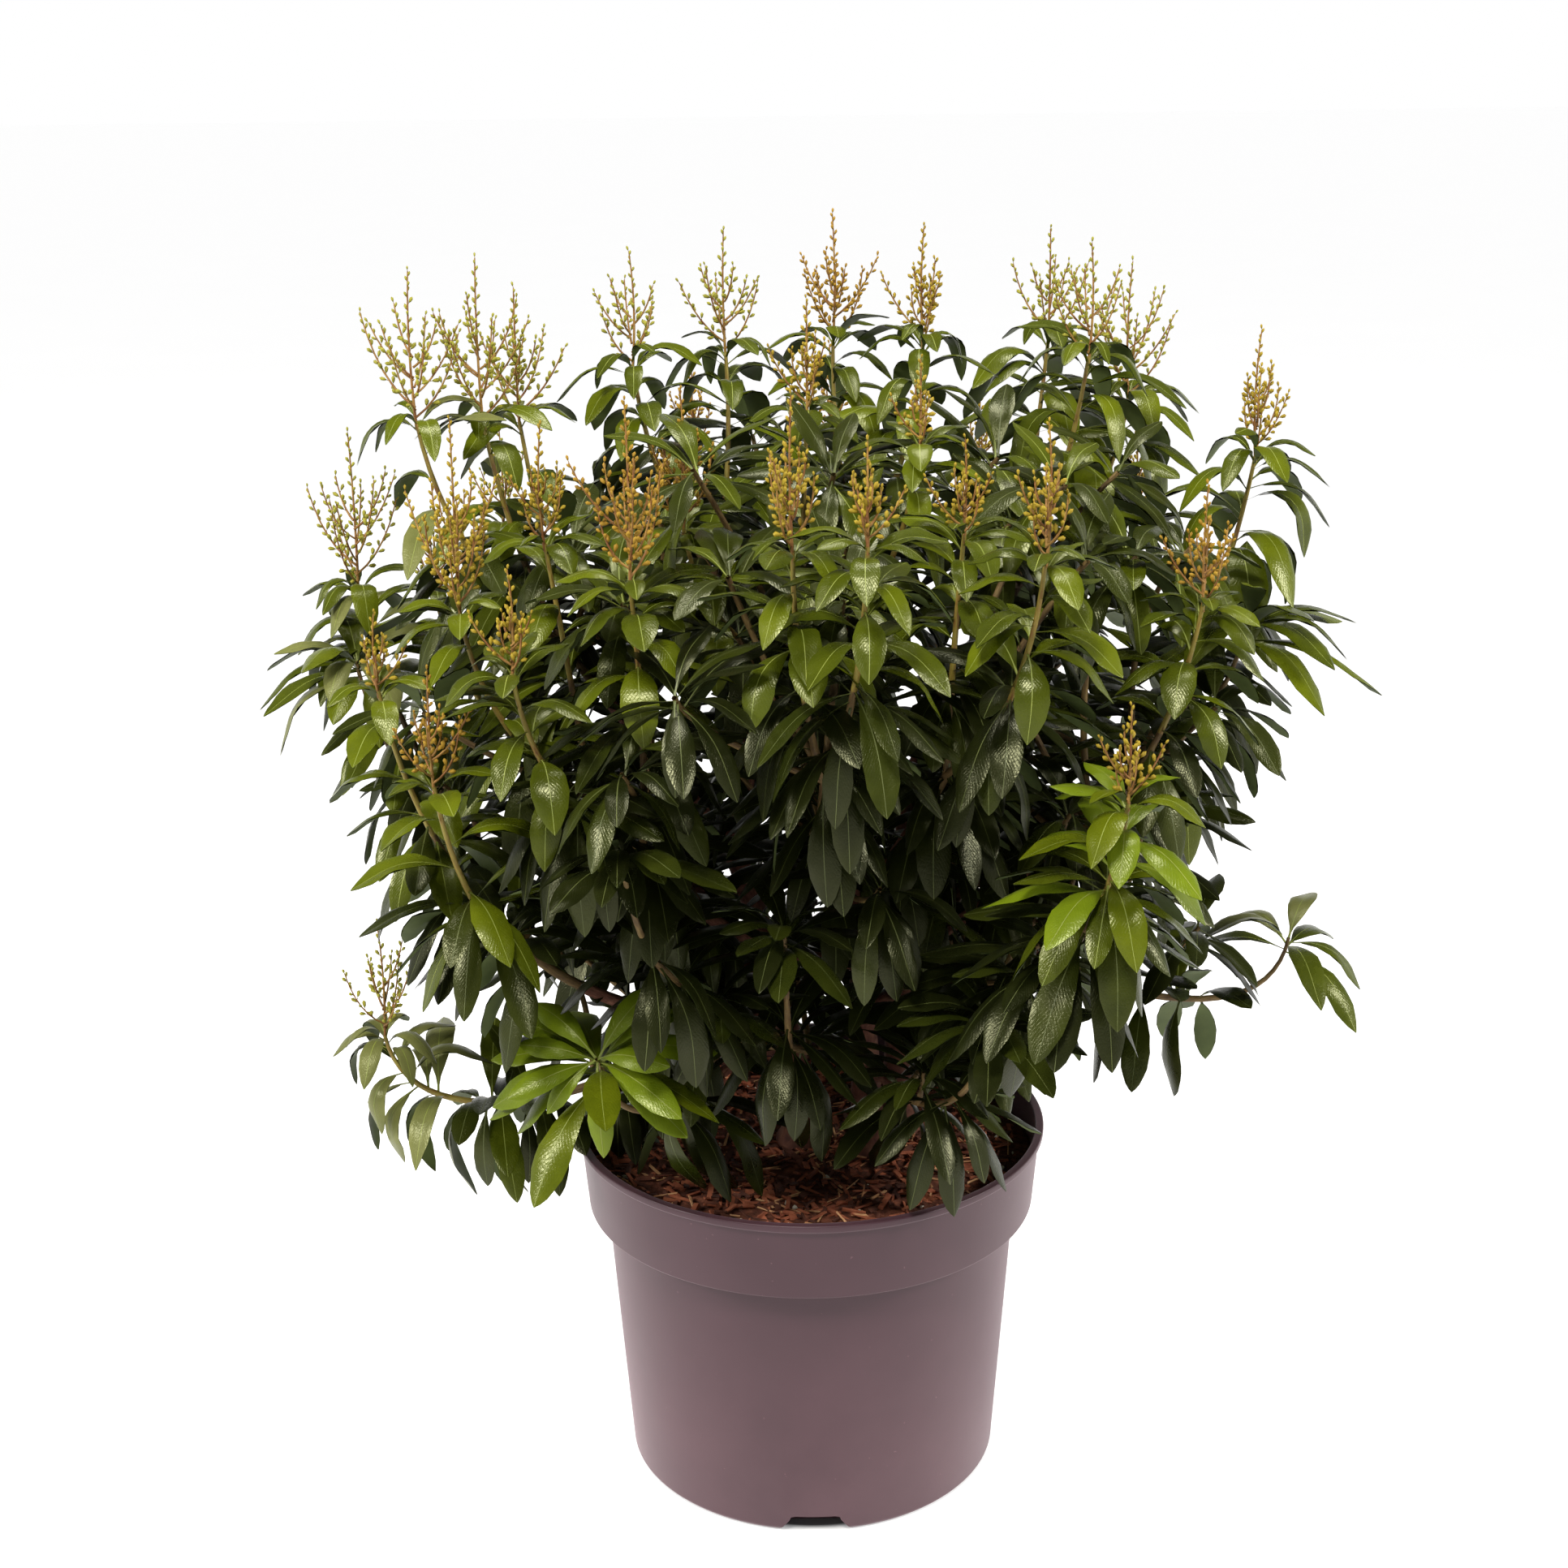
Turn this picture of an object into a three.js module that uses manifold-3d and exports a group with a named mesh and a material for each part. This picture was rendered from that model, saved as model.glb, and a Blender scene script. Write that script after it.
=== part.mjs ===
// A pieris shrub in its nursery pot.
// Millimetres, +Z up. The pot's axis is the Z axis, its flat underside lies at Z = 0,
// and the shrub's front faces -Y.
import * as THREE from 'three';
import { mergeVertices } from 'three/addons/utils/BufferGeometryUtils.js';
import Module from 'manifold-3d';

// ---- Driving dimensions ------------------------------------------------------------

const GAP = 0.3; // between any two pieces that touch on the real plant

const POT = {
  height: 215,
  baseRadius: 112,
  bodyTopRadius: 123.6,
  collarRadius: 134.3,
  collarTopRadius: 138,
  lipRadius: 140.5,
  lipHeight: 5,
  lipChamfer: 1,
  ledgeHeight: 167,
  wall: 2.4,
  floor: 3.2,
  foot: 2.5,
  segments: 36,
};
const NOTCH = { count: 4, widthBelow: 43, widthAbove: 29, height: 11, round: 3, depth: 14 };
const SOIL = { top: 196, crown: 1.5, slope: 12 };

// Foot and tip of each stem in plan, and the height of its tip.
const STEM = {
  footRadius: 16,
  shoulderRadius: 12.25,
  neckRadius: 11,
  tipRadius: 6.2,
  flareHeight: 16,
  upright: 0.4,
  sides: 8,
  steps: 5,
};
const STEMS = [
  { name: 'stem_left', foot: [-6, 4], tip: [-48, -6], top: 402 },
  { name: 'stem_front', foot: [34, -10], tip: [26, -56], top: 384 },
  { name: 'stem_back', foot: [54, 18], tip: [62, 52], top: 412 },
];

const BOUGH = {
  startRadius: 4.2,
  tipRadius: 3.3,
  sides: 5,
  steps: 3,
  lowest: 26, // height of the lowest bough above the soil
  crowding: 0.85, // under 1, the boughs stand closer together towards the top
  rise: 0.4, // least climb for each unit of reach
  run: 0.78, // how far back from its end a bough starts to bend, as a share of its length
  climb: 0.85, // and at most this share of its height
  steep: 0.2,
};
const TWIG = { baseRadius: 3.1, forkRadius: 2.6, tipRadius: 1.8, sides: 3, steps: 3 };

// How a mass grows: where it sits under its shoots, and how each shoot is made.
const SEAT = { inward: 0.62, drop: 160 };
const SHOOT = { forkAt: 0.24, upright: 0.55, lean: 0.16 };

// Leaves of one shoot, counted down from its head in mm. Angles are in degrees from the
// shoot's own cross plane, and each row runs from its upper to its lower value.
const NEW_LEAVES = { count: 5, from: 4, to: 66, length: [46, 76], rise: [42, 2], bend: 48 };
const OLD_LEAVES = { count: 4, from: 78, to: 88, length: [76, 88], rise: [-4, -34], bend: 30 };
const FORK_LEAVES = { count: 4, from: 2, to: 12, length: [76, 88], rise: [-6, -38], bend: 28 };
const TOP_LEAVES = { count: 8, from: 1, to: 9, length: [60, 82], rise: [44, -10], bend: 34 };
const VARIES = { turn: 0.5, length: 0.2, rise: 0.5, bend: 0.6 };

// Shares of a leaf's length, but for the sink of its root in the twig in mm.
const LEAF = {
  widest: 0.52,
  waist: 0.4,
  width: 0.38,
  thick: 0.018,
  cup: 0.035,
  sink: 0.2,
  neck: 0.14,
  earlyBend: 0.4,
};
// A leaf short of room is turned aside or stays smaller before it is left out.
const LEAF_SIZES = [1, 0.82, 0.68];
const LEAF_TURNS = [0, 0.5, -0.5];

const PANICLE = { root: 10, bodyRadius: 5, bodyAt: 0.35 };
// Side spikes: one for each 30 mm of panicle, in shares of its length.
const SPIKE = {
  each: 30,
  root: 2,
  radius: 3.6,
  widest: 0.5,
  length: 0.52,
  varies: 0.1,
  shrink: 0.3,
  rise: 1.15,
  lowest: 0.08,
  spread: 0.3,
  neck: 0.3,
};
const GOLDEN_ANGLE = THREE.MathUtils.degToRad(137.5);

// Each mass: its stem, and its shoots as [across, back, height of the tip, panicle length].
// A shoot with no panicle ends in a rosette of leaves. A seat is where the mass's own stem
// starts, and is given only where the branch doesn't rise by the common rule.
const MASSES = [
  { name: 'left_top', stem: 0, shoots: [[-179, 20, 722, 89], [-213, 0, 717, 81], [-162, 50, 703, 75]] },
  { name: 'left_tip', stem: 0, shoots: [[-255, 20, 627, 88], [-254, -6, 502, 0]] },
  { name: 'left_front', stem: 0, shoots: [[-179, -110, 652, 100], [-137, -80, 644, 61]] },
  { name: 'left_low_front', stem: 0, shoots: [[-220, -130, 558, 40], [-185, -190, 543, 58]] },
  { name: 'front_left', stem: 1, shoots: [[-87, -170, 669, 88], [-144, -190, 592, 50]] },
  { name: 'front', stem: 1, shoots: [[-8, -215, 677, 72], [26, -240, 659, 47]] },
  { name: 'front_right', stem: 1, shoots: [[110, -215, 663, 63], [77, -150, 646, 47]] },
  { name: 'middle', stem: 1, shoots: [[-65, -60, 659, 72], [60, -70, 675, 44], [2, -5, 700, 60]] },
  { name: 'right_front', stem: 1, shoots: [[200, -130, 618, 60]] },
  { name: 'right_tip', stem: 2, shoots: [[254, 20, 678, 69], [244, -24, 520, 0]] },
  { name: 'right_top', stem: 2, shoots: [[198, 130, 707, 80], [164, 60, 723, 63], [151, 150, 725, 66]] },
  { name: 'right_low_front', stem: 1, shoots: [[150, -230, 532, 47]], seat: [92, -112, 345], leaf: 1.1 },
  { name: 'right_low', stem: 1, shoots: [[190, -60, 432, 0]], seat: [112, -14, 322] },
  { name: 'right_low_side', stem: 2, shoots: [[292, 36, 312, 0]], seat: [150, 24, 304], leaf: 0.75 },
  { name: 'left_low', stem: 0, shoots: [[-95, -185, 450, 0]], seat: [-60, -100, 340] },
  { name: 'low_left', stem: 0, shoots: [[-246, -40, 356, 68]], seat: [-118, -30, 254], leaf: 0.85 },
  { name: 'low_front_left', stem: 0, shoots: [[-113, -135, 311, 0]], seat: [-52, -56, 268], leaf: 1.08 },
  { name: 'low_front', stem: 1, shoots: [[-14, -150, 392, 0], [-52, -112, 336, 0]], seat: [2, -78, 292] },
  { name: 'low_right', stem: 1, shoots: [[92, -165, 347, 0], [61, -118, 296, 0]], seat: [48, -62, 262] },
  { name: 'back_left_top', stem: 0, shoots: [[-99, 90, 719, 64], [-45, 120, 728, 70]] },
  { name: 'back_top', stem: 2, shoots: [[20, 155, 735, 75], [72, 105, 730, 66]] },
  { name: 'back_left', stem: 0, shoots: [[-185, 140, 612, 60], [-222, 90, 570, 50]] },
  { name: 'back', stem: 2, shoots: [[-70, 235, 640, 62], [20, 255, 646, 66]] },
  { name: 'back_right', stem: 2, shoots: [[118, 235, 622, 60], [212, 184, 604, 58]] },
  { name: 'back_low_left', stem: 0, shoots: [[-112, 172, 452, 0]] },
  { name: 'back_low_right', stem: 2, shoots: [[122, 192, 440, 0]] },
];
const FIRST_SEED = 1009;

const FINISH = {
  pot: { color: 0x766267, roughness: 0.48, metalness: 0 },
  soil: { color: 0x3a211a, roughness: 1, metalness: 0 },
  bark: { color: 0x6b3d30, roughness: 0.85, metalness: 0 },
  foliage: { color: 0x4d7025, roughness: 0.4, metalness: 0 },
};

// ---- Common helpers ----------------------------------------------------------------

const wasm = await Module();
wasm.setup();

const vec = (x, y, z) => new THREE.Vector3(x, y, z);
const { clamp, degToRad, lerp } = THREE.MathUtils;
const UP = vec(0, 0, 1);
const WELD = 1e-4;
const APART = 0.01;

/** Seeded numbers from 0 to 1. */
function seeded(seed) {
  let state = seed >>> 0;
  return () => {
    state = (state + 0x6d2b79f5) >>> 0;
    let mixed = Math.imul(state ^ (state >>> 15), state | 1);
    mixed ^= mixed + Math.imul(mixed ^ (mixed >>> 7), mixed | 61);
    return ((mixed ^ (mixed >>> 14)) >>> 0) / 4294967296;
  };
}

/** A closed geometry as a solid. */
function solidOf(geometry) {
  const bare = geometry.clone();
  bare.deleteAttribute('normal');
  bare.deleteAttribute('uv');
  const welded = mergeVertices(bare, WELD);
  const vertProperties = new Float32Array(welded.getAttribute('position').array);
  const triVerts = new Uint32Array(welded.getIndex().array);
  return new wasm.Manifold(new wasm.Mesh({ numProp: 3, vertProperties, triVerts }));
}

/** Moves any two points that lie closer than APART to that distance. */
function spread(points) {
  points.forEach((point, i) => {
    points.slice(i + 1).forEach((other) => {
      const apart = point.clone().sub(other);
      const short = APART - apart.length();
      if (short > 0) {
        apart.setLength(short / 2);
        point.add(apart);
        other.sub(apart);
      }
    });
  });
}

/** A solid as a geometry: shorter edges than APART are closed up, and other near corners spread. */
function geometryOf(solid) {
  const mesh = solid.simplify(APART).getMesh();
  const corners = Array.from({ length: mesh.numVert }, (_, i) => vec(...mesh.position(i)));
  spread(corners);
  const geometry = new THREE.BufferGeometry().setFromPoints(corners);
  geometry.setIndex(new THREE.BufferAttribute(new Uint32Array(mesh.triVerts), 1));
  return geometry;
}

/** A solid from corner points and triangles of their numbers. */
function solidFrom(points, triangles) {
  const vertProperties = new Float32Array(points.flatMap((p) => [p.x, p.y, p.z]));
  const triVerts = new Uint32Array(triangles);
  return new wasm.Manifold(new wasm.Mesh({ numProp: 3, vertProperties, triVerts }));
}

function meshOf(name, geometry, finish) {
  geometry.computeVertexNormals();
  const mesh = new THREE.Mesh(geometry, new THREE.MeshStandardMaterial(finish));
  mesh.name = name;
  return mesh;
}

/** Points of a curve that leaves `start` towards `pull` and comes into `end` from it. */
function bend(start, pull, end, steps) {
  return new THREE.QuadraticBezierCurve3(start, pull, end).getPoints(steps);
}

/** Direction of a path at each of its points. */
function headings(path) {
  return path.map((_, i) => {
    const before = path[Math.max(i - 1, 0)];
    const after = path[Math.min(i + 1, path.length - 1)];
    return after.clone().sub(before).normalize();
  });
}

/** A closed limb along a path, with one radius for each point and set headings at its ends. */
function limb(path, radii, sides, { first, last } = {}) {
  const along = headings(path);
  along[0] = first ?? along[0];
  along[path.length - 1] = last ?? along[path.length - 1];
  const points = [];
  let side = Math.abs(along[0].y) < 0.9 ? vec(0, 1, 0) : vec(1, 0, 0);
  path.forEach((centre, i) => {
    side = side.clone().addScaledVector(along[i], -side.dot(along[i])).normalize();
    const other = along[i].clone().cross(side);
    for (let k = 0; k < sides; k += 1) {
      const turn = (2 * Math.PI * k) / sides;
      points.push(centre.clone()
        .addScaledVector(side, radii[i] * Math.cos(turn))
        .addScaledVector(other, radii[i] * Math.sin(turn)));
    }
  });
  const triangles = [];
  for (let i = 0; i < path.length - 1; i += 1) {
    for (let k = 0; k < sides; k += 1) {
      const a = i * sides + k;
      const b = i * sides + ((k + 1) % sides);
      triangles.push(a, b, b + sides, a, b + sides, a + sides);
    }
  }
  const end = (path.length - 1) * sides;
  for (let k = 1; k < sides - 1; k += 1) {
    triangles.push(0, k + 1, k, end, end + k, end + k + 1);
  }
  return solidFrom(points, triangles);
}

const SPINDLE_FACES = [0, 2, 1, 0, 3, 2, 0, 1, 3, 4, 1, 2, 4, 2, 3, 4, 3, 1];

/** A spindle from a root to a tip, three-sided and widest part way up. */
function spindle(root, tip, widestAt, radius) {
  const along = tip.clone().sub(root).normalize();
  const side = vec(along.y, along.z, along.x).cross(along).normalize();
  const ring = [0, 1, 2].map((k) => root.clone().lerp(tip, widestAt)
    .addScaledVector(side.clone().applyAxisAngle(along, (2 * Math.PI * k) / 3), radius));
  return solidFrom([root, ...ring, tip], SPINDLE_FACES);
}

/** A path whose last point lies a little further on. */
function lengthened(path, extra) {
  const last = path[path.length - 1];
  const onward = last.clone().sub(path[path.length - 2]).normalize();
  return [...path.slice(0, -1), last.clone().addScaledVector(onward, extra)];
}

/** Radii that taper evenly from one value to another. */
function taper(from, to, count, extra = 0) {
  return Array.from({ length: count }, (_, i) => lerp(from, to, i / (count - 1)) + extra);
}

// ---- Pot and soil ------------------------------------------------------------------

const innerBase = POT.baseRadius - POT.wall;
const innerBodyTop = POT.bodyTopRadius - POT.wall;
const innerCollar = POT.collarRadius - POT.wall;
const innerCollarTop = POT.collarTopRadius - POT.wall;
const innerLedge = POT.ledgeHeight + POT.wall;
const lipFoot = POT.height - POT.lipHeight;

/** Inner radius of the collar at a height. */
function collarRoom(z) {
  return lerp(innerCollar, innerCollarTop, (z - innerLedge) / (lipFoot - innerLedge));
}

function lathe(profile) {
  const points = profile.map(([r, z]) => new THREE.Vector2(r, z));
  return new THREE.LatheGeometry(points, POT.segments).rotateX(Math.PI / 2);
}

/** One drain notch through the foot of the wall, facing -Y, open below. */
function notchCut() {
  const { height, round, depth } = NOTCH;
  const below = NOTCH.widthBelow / 2;
  const above = NOTCH.widthAbove / 2;
  const shape = new THREE.Shape();
  shape.moveTo(-below, -1);
  shape.lineTo(below, -1);
  shape.lineTo(above, height - round);
  shape.quadraticCurveTo(above, height, above - round, height);
  shape.lineTo(round - above, height);
  shape.quadraticCurveTo(-above, height, -above, height - round);
  const cut = new THREE.ExtrudeGeometry(shape, { depth: 2 * depth, bevelEnabled: false, curveSegments: 3 });
  return cut.rotateX(Math.PI / 2).translate(0, depth - POT.baseRadius, 0);
}

function potMesh() {
  const profile = [
    [0, 0],
    [POT.baseRadius - POT.foot, 0],
    [POT.baseRadius, POT.foot],
    [POT.bodyTopRadius, POT.ledgeHeight],
    [POT.collarRadius, POT.ledgeHeight],
    [POT.collarTopRadius, lipFoot],
    [POT.lipRadius, lipFoot],
    [POT.lipRadius, POT.height - POT.lipChamfer],
    [POT.lipRadius - POT.lipChamfer, POT.height],
    [innerCollarTop, POT.height],
    [innerCollar, innerLedge],
    [innerBodyTop, innerLedge],
    [innerBase, POT.floor],
    [0, POT.floor],
  ];
  let pot = solidOf(lathe(profile));
  for (let k = 0; k < NOTCH.count; k += 1) {
    const turn = (2 * Math.PI * k) / NOTCH.count;
    pot = pot.subtract(solidOf(notchCut().rotateZ(turn)));
  }
  return meshOf('pot', geometryOf(pot), FINISH.pot);
}

function soilMesh() {
  const edge = SOIL.top - SOIL.crown;
  const rimRadius = collarRoom(edge) - GAP;
  const profile = [
    [0, POT.floor + GAP],
    [innerBase - GAP, POT.floor + GAP],
    [innerBodyTop - GAP, innerLedge + GAP],
    [innerCollar - GAP, innerLedge + GAP],
    [rimRadius, edge],
    [rimRadius - SOIL.slope, SOIL.top],
    [0, SOIL.top],
  ];
  return meshOf('soil', geometryOf(solidOf(lathe(profile))), FINISH.soil);
}

// ---- Stems and boughs --------------------------------------------------------------

/** Axis and radii of one stem, from its flat foot on the soil to its tip. */
function stemLine({ foot: [x, y], tip, top }) {
  const ground = SOIL.top + GAP;
  const pull = vec(x, y, lerp(ground, top, STEM.upright));
  const path = bend(vec(x, y, ground), pull, vec(tip[0], tip[1], top), STEM.steps);
  path.splice(1, 0, vec(x, y, ground + STEM.flareHeight / 3), vec(x, y, ground + STEM.flareHeight));
  const shaft = taper(STEM.neckRadius, STEM.tipRadius, STEM.steps + 1);
  return { path, radii: [STEM.footRadius, STEM.shoulderRadius, ...shaft] };
}

/** Axis point of a stem at a height. */
function stemPoint(line, height) {
  const above = Math.max(1, line.path.findIndex((p) => p.z >= height));
  const [low, high] = [line.path[above - 1], line.path[above]];
  return low.clone().lerp(high, (height - low.z) / (high.z - low.z));
}

const stemLines = STEMS.map(stemLine);

function growStem({ path, radii }, extra = 0) {
  const way = lengthened(path, extra);
  return limb(way, radii.map((r) => r + extra), STEM.sides, { first: UP });
}

// ---- Where each mass sits and how its shoots run -------------------------------------

function middleOf(points) {
  return points.reduce((sum, p) => sum.add(p), vec(0, 0, 0)).divideScalar(points.length);
}

/** The point that pulls a shoot upright before it reaches `to`, leaning a little inward. */
function pullTo(from, to) {
  const lean = vec(to.x, to.y, 0).normalize().multiplyScalar(-SHOOT.lean).sub(UP).normalize();
  return to.clone().addScaledVector(lean, SHOOT.upright * from.distanceTo(to));
}

/** The shoots, stalk and seat of a mass, worked out from its table row. */
function layOut(mass) {
  const tips = mass.shoots.map(([x, y, z]) => vec(x, y, z));
  const heads = mass.shoots.map(([x, y, z, panicle]) => vec(x, y, z - panicle));
  const tip = middleOf(tips);
  const head = middleOf(heads);
  const common = vec(tip.x * SEAT.inward, tip.y * SEAT.inward, head.z - SEAT.drop);
  const seat = mass.seat ? vec(...mass.seat) : common;
  const pull = pullTo(seat, head);
  const fork = new THREE.QuadraticBezierCurve3(seat, pull, head).getPoint(SHOOT.forkAt);
  const stalk = bend(seat, seat.clone().lerp(pull, SHOOT.forkAt), fork, 2);
  const shoots = heads.map((end, i) => ({
    path: bend(fork, pullTo(fork, end), end, TWIG.steps),
    tip: tips[i],
    panicle: mass.shoots[i][3],
  }));
  return { ...mass, seat, stalk, shoots, heading: pull.clone().sub(seat).normalize() };
}

const masses = MASSES.map(layOut);

/** The bough of each mass: it leaves its stem lower the lower its mass sits. */
function boughLine(mass) {
  const line = stemLines[mass.stem];
  const mates = masses.filter((other) => other.stem === mass.stem).sort((a, b) => a.seat.z - b.seat.z);
  const first = SOIL.top + BOUGH.lowest;
  const last = STEMS[mass.stem].top - BOUGH.startRadius;
  const rank = (mates.indexOf(mass) / (mates.length - 1)) ** BOUGH.crowding;
  const ranked = stemPoint(line, lerp(first, last, rank));
  const reach = Math.hypot(mass.seat.x - ranked.x, mass.seat.y - ranked.y);
  const lowEnough = Math.min(ranked.z, mass.seat.z - BOUGH.rise * reach);
  const start = stemPoint(line, Math.max(first, lowEnough));
  const end = mass.seat.clone().addScaledVector(mass.heading, -GAP);
  const steepest = (BOUGH.climb * (end.z - start.z)) / Math.max(mass.heading.z, BOUGH.steep);
  const run = Math.min(BOUGH.run * start.distanceTo(end), steepest);
  return bend(start, end.clone().addScaledVector(mass.heading, -run), end, BOUGH.steps);
}

function growBough(path, heading, extra = 0) {
  const radii = taper(BOUGH.startRadius, BOUGH.tipRadius, path.length, extra);
  return limb(lengthened(path, extra), radii, BOUGH.sides, { last: heading });
}

// ---- The space of each mass --------------------------------------------------------

const SEARCH = { rounds: 200, least: 1e-9 };

/** The plane midway between two sets of points, as the nearest points of their hulls give it. */
function midPlane(mine, theirs) {
  const near = mine[0].clone();
  const far = theirs[0].clone();
  for (let i = 0; i < SEARCH.rounds; i += 1) {
    const apart = near.clone().sub(far);
    const a = mine.reduce((best, p) => (p.dot(apart) < best.dot(apart) ? p : best));
    const b = theirs.reduce((best, p) => (p.dot(apart) > best.dot(apart) ? p : best));
    const step = a.clone().sub(b).sub(apart);
    const share = clamp(-apart.dot(step) / Math.max(step.lengthSq(), SEARCH.least), 0, 1);
    near.lerp(a, share);
    far.lerp(b, share);
  }
  const normal = near.clone().sub(far).normalize();
  return { normal, offset: normal.dot(near.add(far).multiplyScalar(0.5)) };
}

const outline = (mass) => [...mass.stalk, ...mass.shoots.flatMap((shoot) => [...shoot.path, shoot.tip])];

function spaceOf(mass) {
  const others = masses.filter((other) => other !== mass);
  return others.map((other) => midPlane(outline(mass), outline(other)));
}

const inside = (point, planes) => planes.every(({ normal, offset }) => normal.dot(point) > offset + GAP);

// ---- Leaves, twigs and panicles ------------------------------------------------------

/** The leaves of one row, counted down from the head of a shoot. */
function dealRow(row, turn, random) {
  const vary = (by) => 1 - by / 2 + by * random();
  return Array.from({ length: row.count }, (_, i) => {
    const t = row.count > 1 ? i / (row.count - 1) : 0;
    return {
      down: lerp(row.from, row.to, t),
      turn: turn + i * GOLDEN_ANGLE + (random() - 0.5) * VARIES.turn,
      length: lerp(row.length[0], row.length[1], t) * vary(VARIES.length),
      rise: degToRad(lerp(row.rise[0], row.rise[1], lerp(t, random(), VARIES.rise))),
      bend: degToRad(row.bend * vary(VARIES.bend)),
    };
  });
}

/** Point and heading of a path at a distance down from its end, or null past its start. */
function placeOn(path, down) {
  let left = down;
  for (let i = path.length - 1; i > 0; i -= 1) {
    const run = path[i].distanceTo(path[i - 1]);
    if (left <= run) {
      const heading = path[i].clone().sub(path[i - 1]).normalize();
      return { point: path[i].clone().addScaledVector(heading, -left), heading };
    }
    left -= run;
  }
  return null;
}

/** The six corners of a leaf: root, tip, both edges, and above and below its rib. */
function leafCorners({ point, heading }, { turn, rise, bend: drop, length }, neck = 0) {
  const guide = Math.abs(heading.x) < 0.8 ? vec(1, 0, 0) : vec(0, 1, 0);
  const out = guide.cross(heading).normalize().applyAxisAngle(heading, turn);
  const aim = out.clone().multiplyScalar(Math.cos(rise)).addScaledVector(heading, Math.sin(rise));
  const level = UP.clone().cross(aim);
  const flat = (level.length() > 0.4 ? level : heading.clone().cross(out)).normalize();
  const ahead = aim.clone().applyAxisAngle(flat, drop * LEAF.earlyBend);
  const end = aim.clone().applyAxisAngle(flat, drop);
  const face = ahead.clone().cross(flat).normalize();
  const root = point.clone().addScaledVector(aim, neck * length - LEAF.sink);
  const waist = point.clone().addScaledVector(aim, length * LEAF.waist);
  const middle = waist.clone().addScaledVector(ahead, length * (LEAF.widest - LEAF.waist));
  const tip = middle.clone().addScaledVector(end, length * (1 - LEAF.widest));
  const half = (length * LEAF.width) / 2;
  const cup = length * LEAF.cup;
  const thick = (length * LEAF.thick) / 2;
  return [
    root,
    tip,
    middle.clone().addScaledVector(flat, half).addScaledVector(face, cup),
    middle.clone().addScaledVector(flat, -half).addScaledVector(face, cup),
    waist.clone().addScaledVector(face, thick),
    waist.clone().addScaledVector(face, -thick),
  ];
}

const LEAF_FACES = [0, 3, 4, 4, 3, 1, 4, 1, 2, 0, 4, 2, 0, 5, 3, 5, 1, 3, 5, 2, 1, 0, 2, 5];

/** The first way to place a leaf that has room, or null. */
function fitLeaf(place, leaf, room) {
  for (const size of LEAF_SIZES) {
    for (const aside of LEAF_TURNS) {
      const tried = { ...leaf, length: leaf.length * size, turn: leaf.turn + aside };
      if (room.takes(solidFrom(leafCorners(place, tried, LEAF.neck), LEAF_FACES))) {
        return solidFrom(leafCorners(place, tried), LEAF_FACES);
      }
    }
  }
  return null;
}

/** Leaves of a row on a path, each with room of its own. */
function growRow(path, row, size, random, room) {
  dealRow(row, random() * 2 * Math.PI, random).forEach((leaf) => {
    const place = placeOn(path, leaf.down);
    const grown = place && fitLeaf(place, { ...leaf, length: leaf.length * size }, room);
    if (grown) {
      room.fill(grown);
    }
  });
}

/** The flower head at the end of a shoot: a spindle, and side spikes round its foot. */
function growPanicle(shoot, random, room) {
  const foot = shoot.path[shoot.path.length - 1];
  const along = shoot.tip.clone().sub(foot).normalize();
  const root = foot.clone().addScaledVector(along, -PANICLE.root);
  room.fill(spindle(root, shoot.tip, PANICLE.bodyAt, PANICLE.bodyRadius));
  const firstTurn = random() * 2 * Math.PI;
  const spikes = Math.round(shoot.panicle / SPIKE.each);
  for (let k = 0; k < spikes; k += 1) {
    const turn = firstTurn + k * GOLDEN_ANGLE;
    const share = (SPIKE.length + SPIKE.varies * random()) * (1 - (SPIKE.shrink * k) / spikes);
    const length = shoot.panicle * share;
    const out = vec(Math.cos(turn), Math.sin(turn), SPIKE.rise).normalize();
    const from = foot.clone().lerp(shoot.tip, SPIKE.lowest + (SPIKE.spread * k) / spikes);
    const at = (run) => from.clone().addScaledVector(out, run);
    if (room.takes(spindle(at(SPIKE.neck * length), at(length), SPIKE.widest, SPIKE.radius))) {
      room.fill(spindle(at(-SPIKE.root), at(length), SPIKE.widest, SPIKE.radius));
    }
  }
}

/** What a mass has grown so far, and the test of a new piece against it and its bounds. */
function roomOf(mass, keepClear) {
  const planes = spaceOf(mass);
  const grown = [];
  const holds = (solid) => {
    const { vertProperties: v } = solid.getMesh();
    const corners = Array.from({ length: v.length / 3 }, (_, i) => vec(v[3 * i], v[3 * i + 1], v[3 * i + 2]));
    return corners.every((corner) => inside(corner, planes));
  };
  const misses = (solid) => [keepClear, ...grown].every((other) => solid.intersect(other).isEmpty());
  return {
    grown,
    fill: (solid) => grown.push(solid),
    takes: (solid) => holds(solid) && misses(solid),
  };
}

/** The largest piece of a solid: what fusing seals off or leaves loose goes. */
function mainPiece(solid) {
  return solid.decompose().reduce((best, piece) => (piece.volume() > best.volume() ? piece : best));
}

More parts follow.
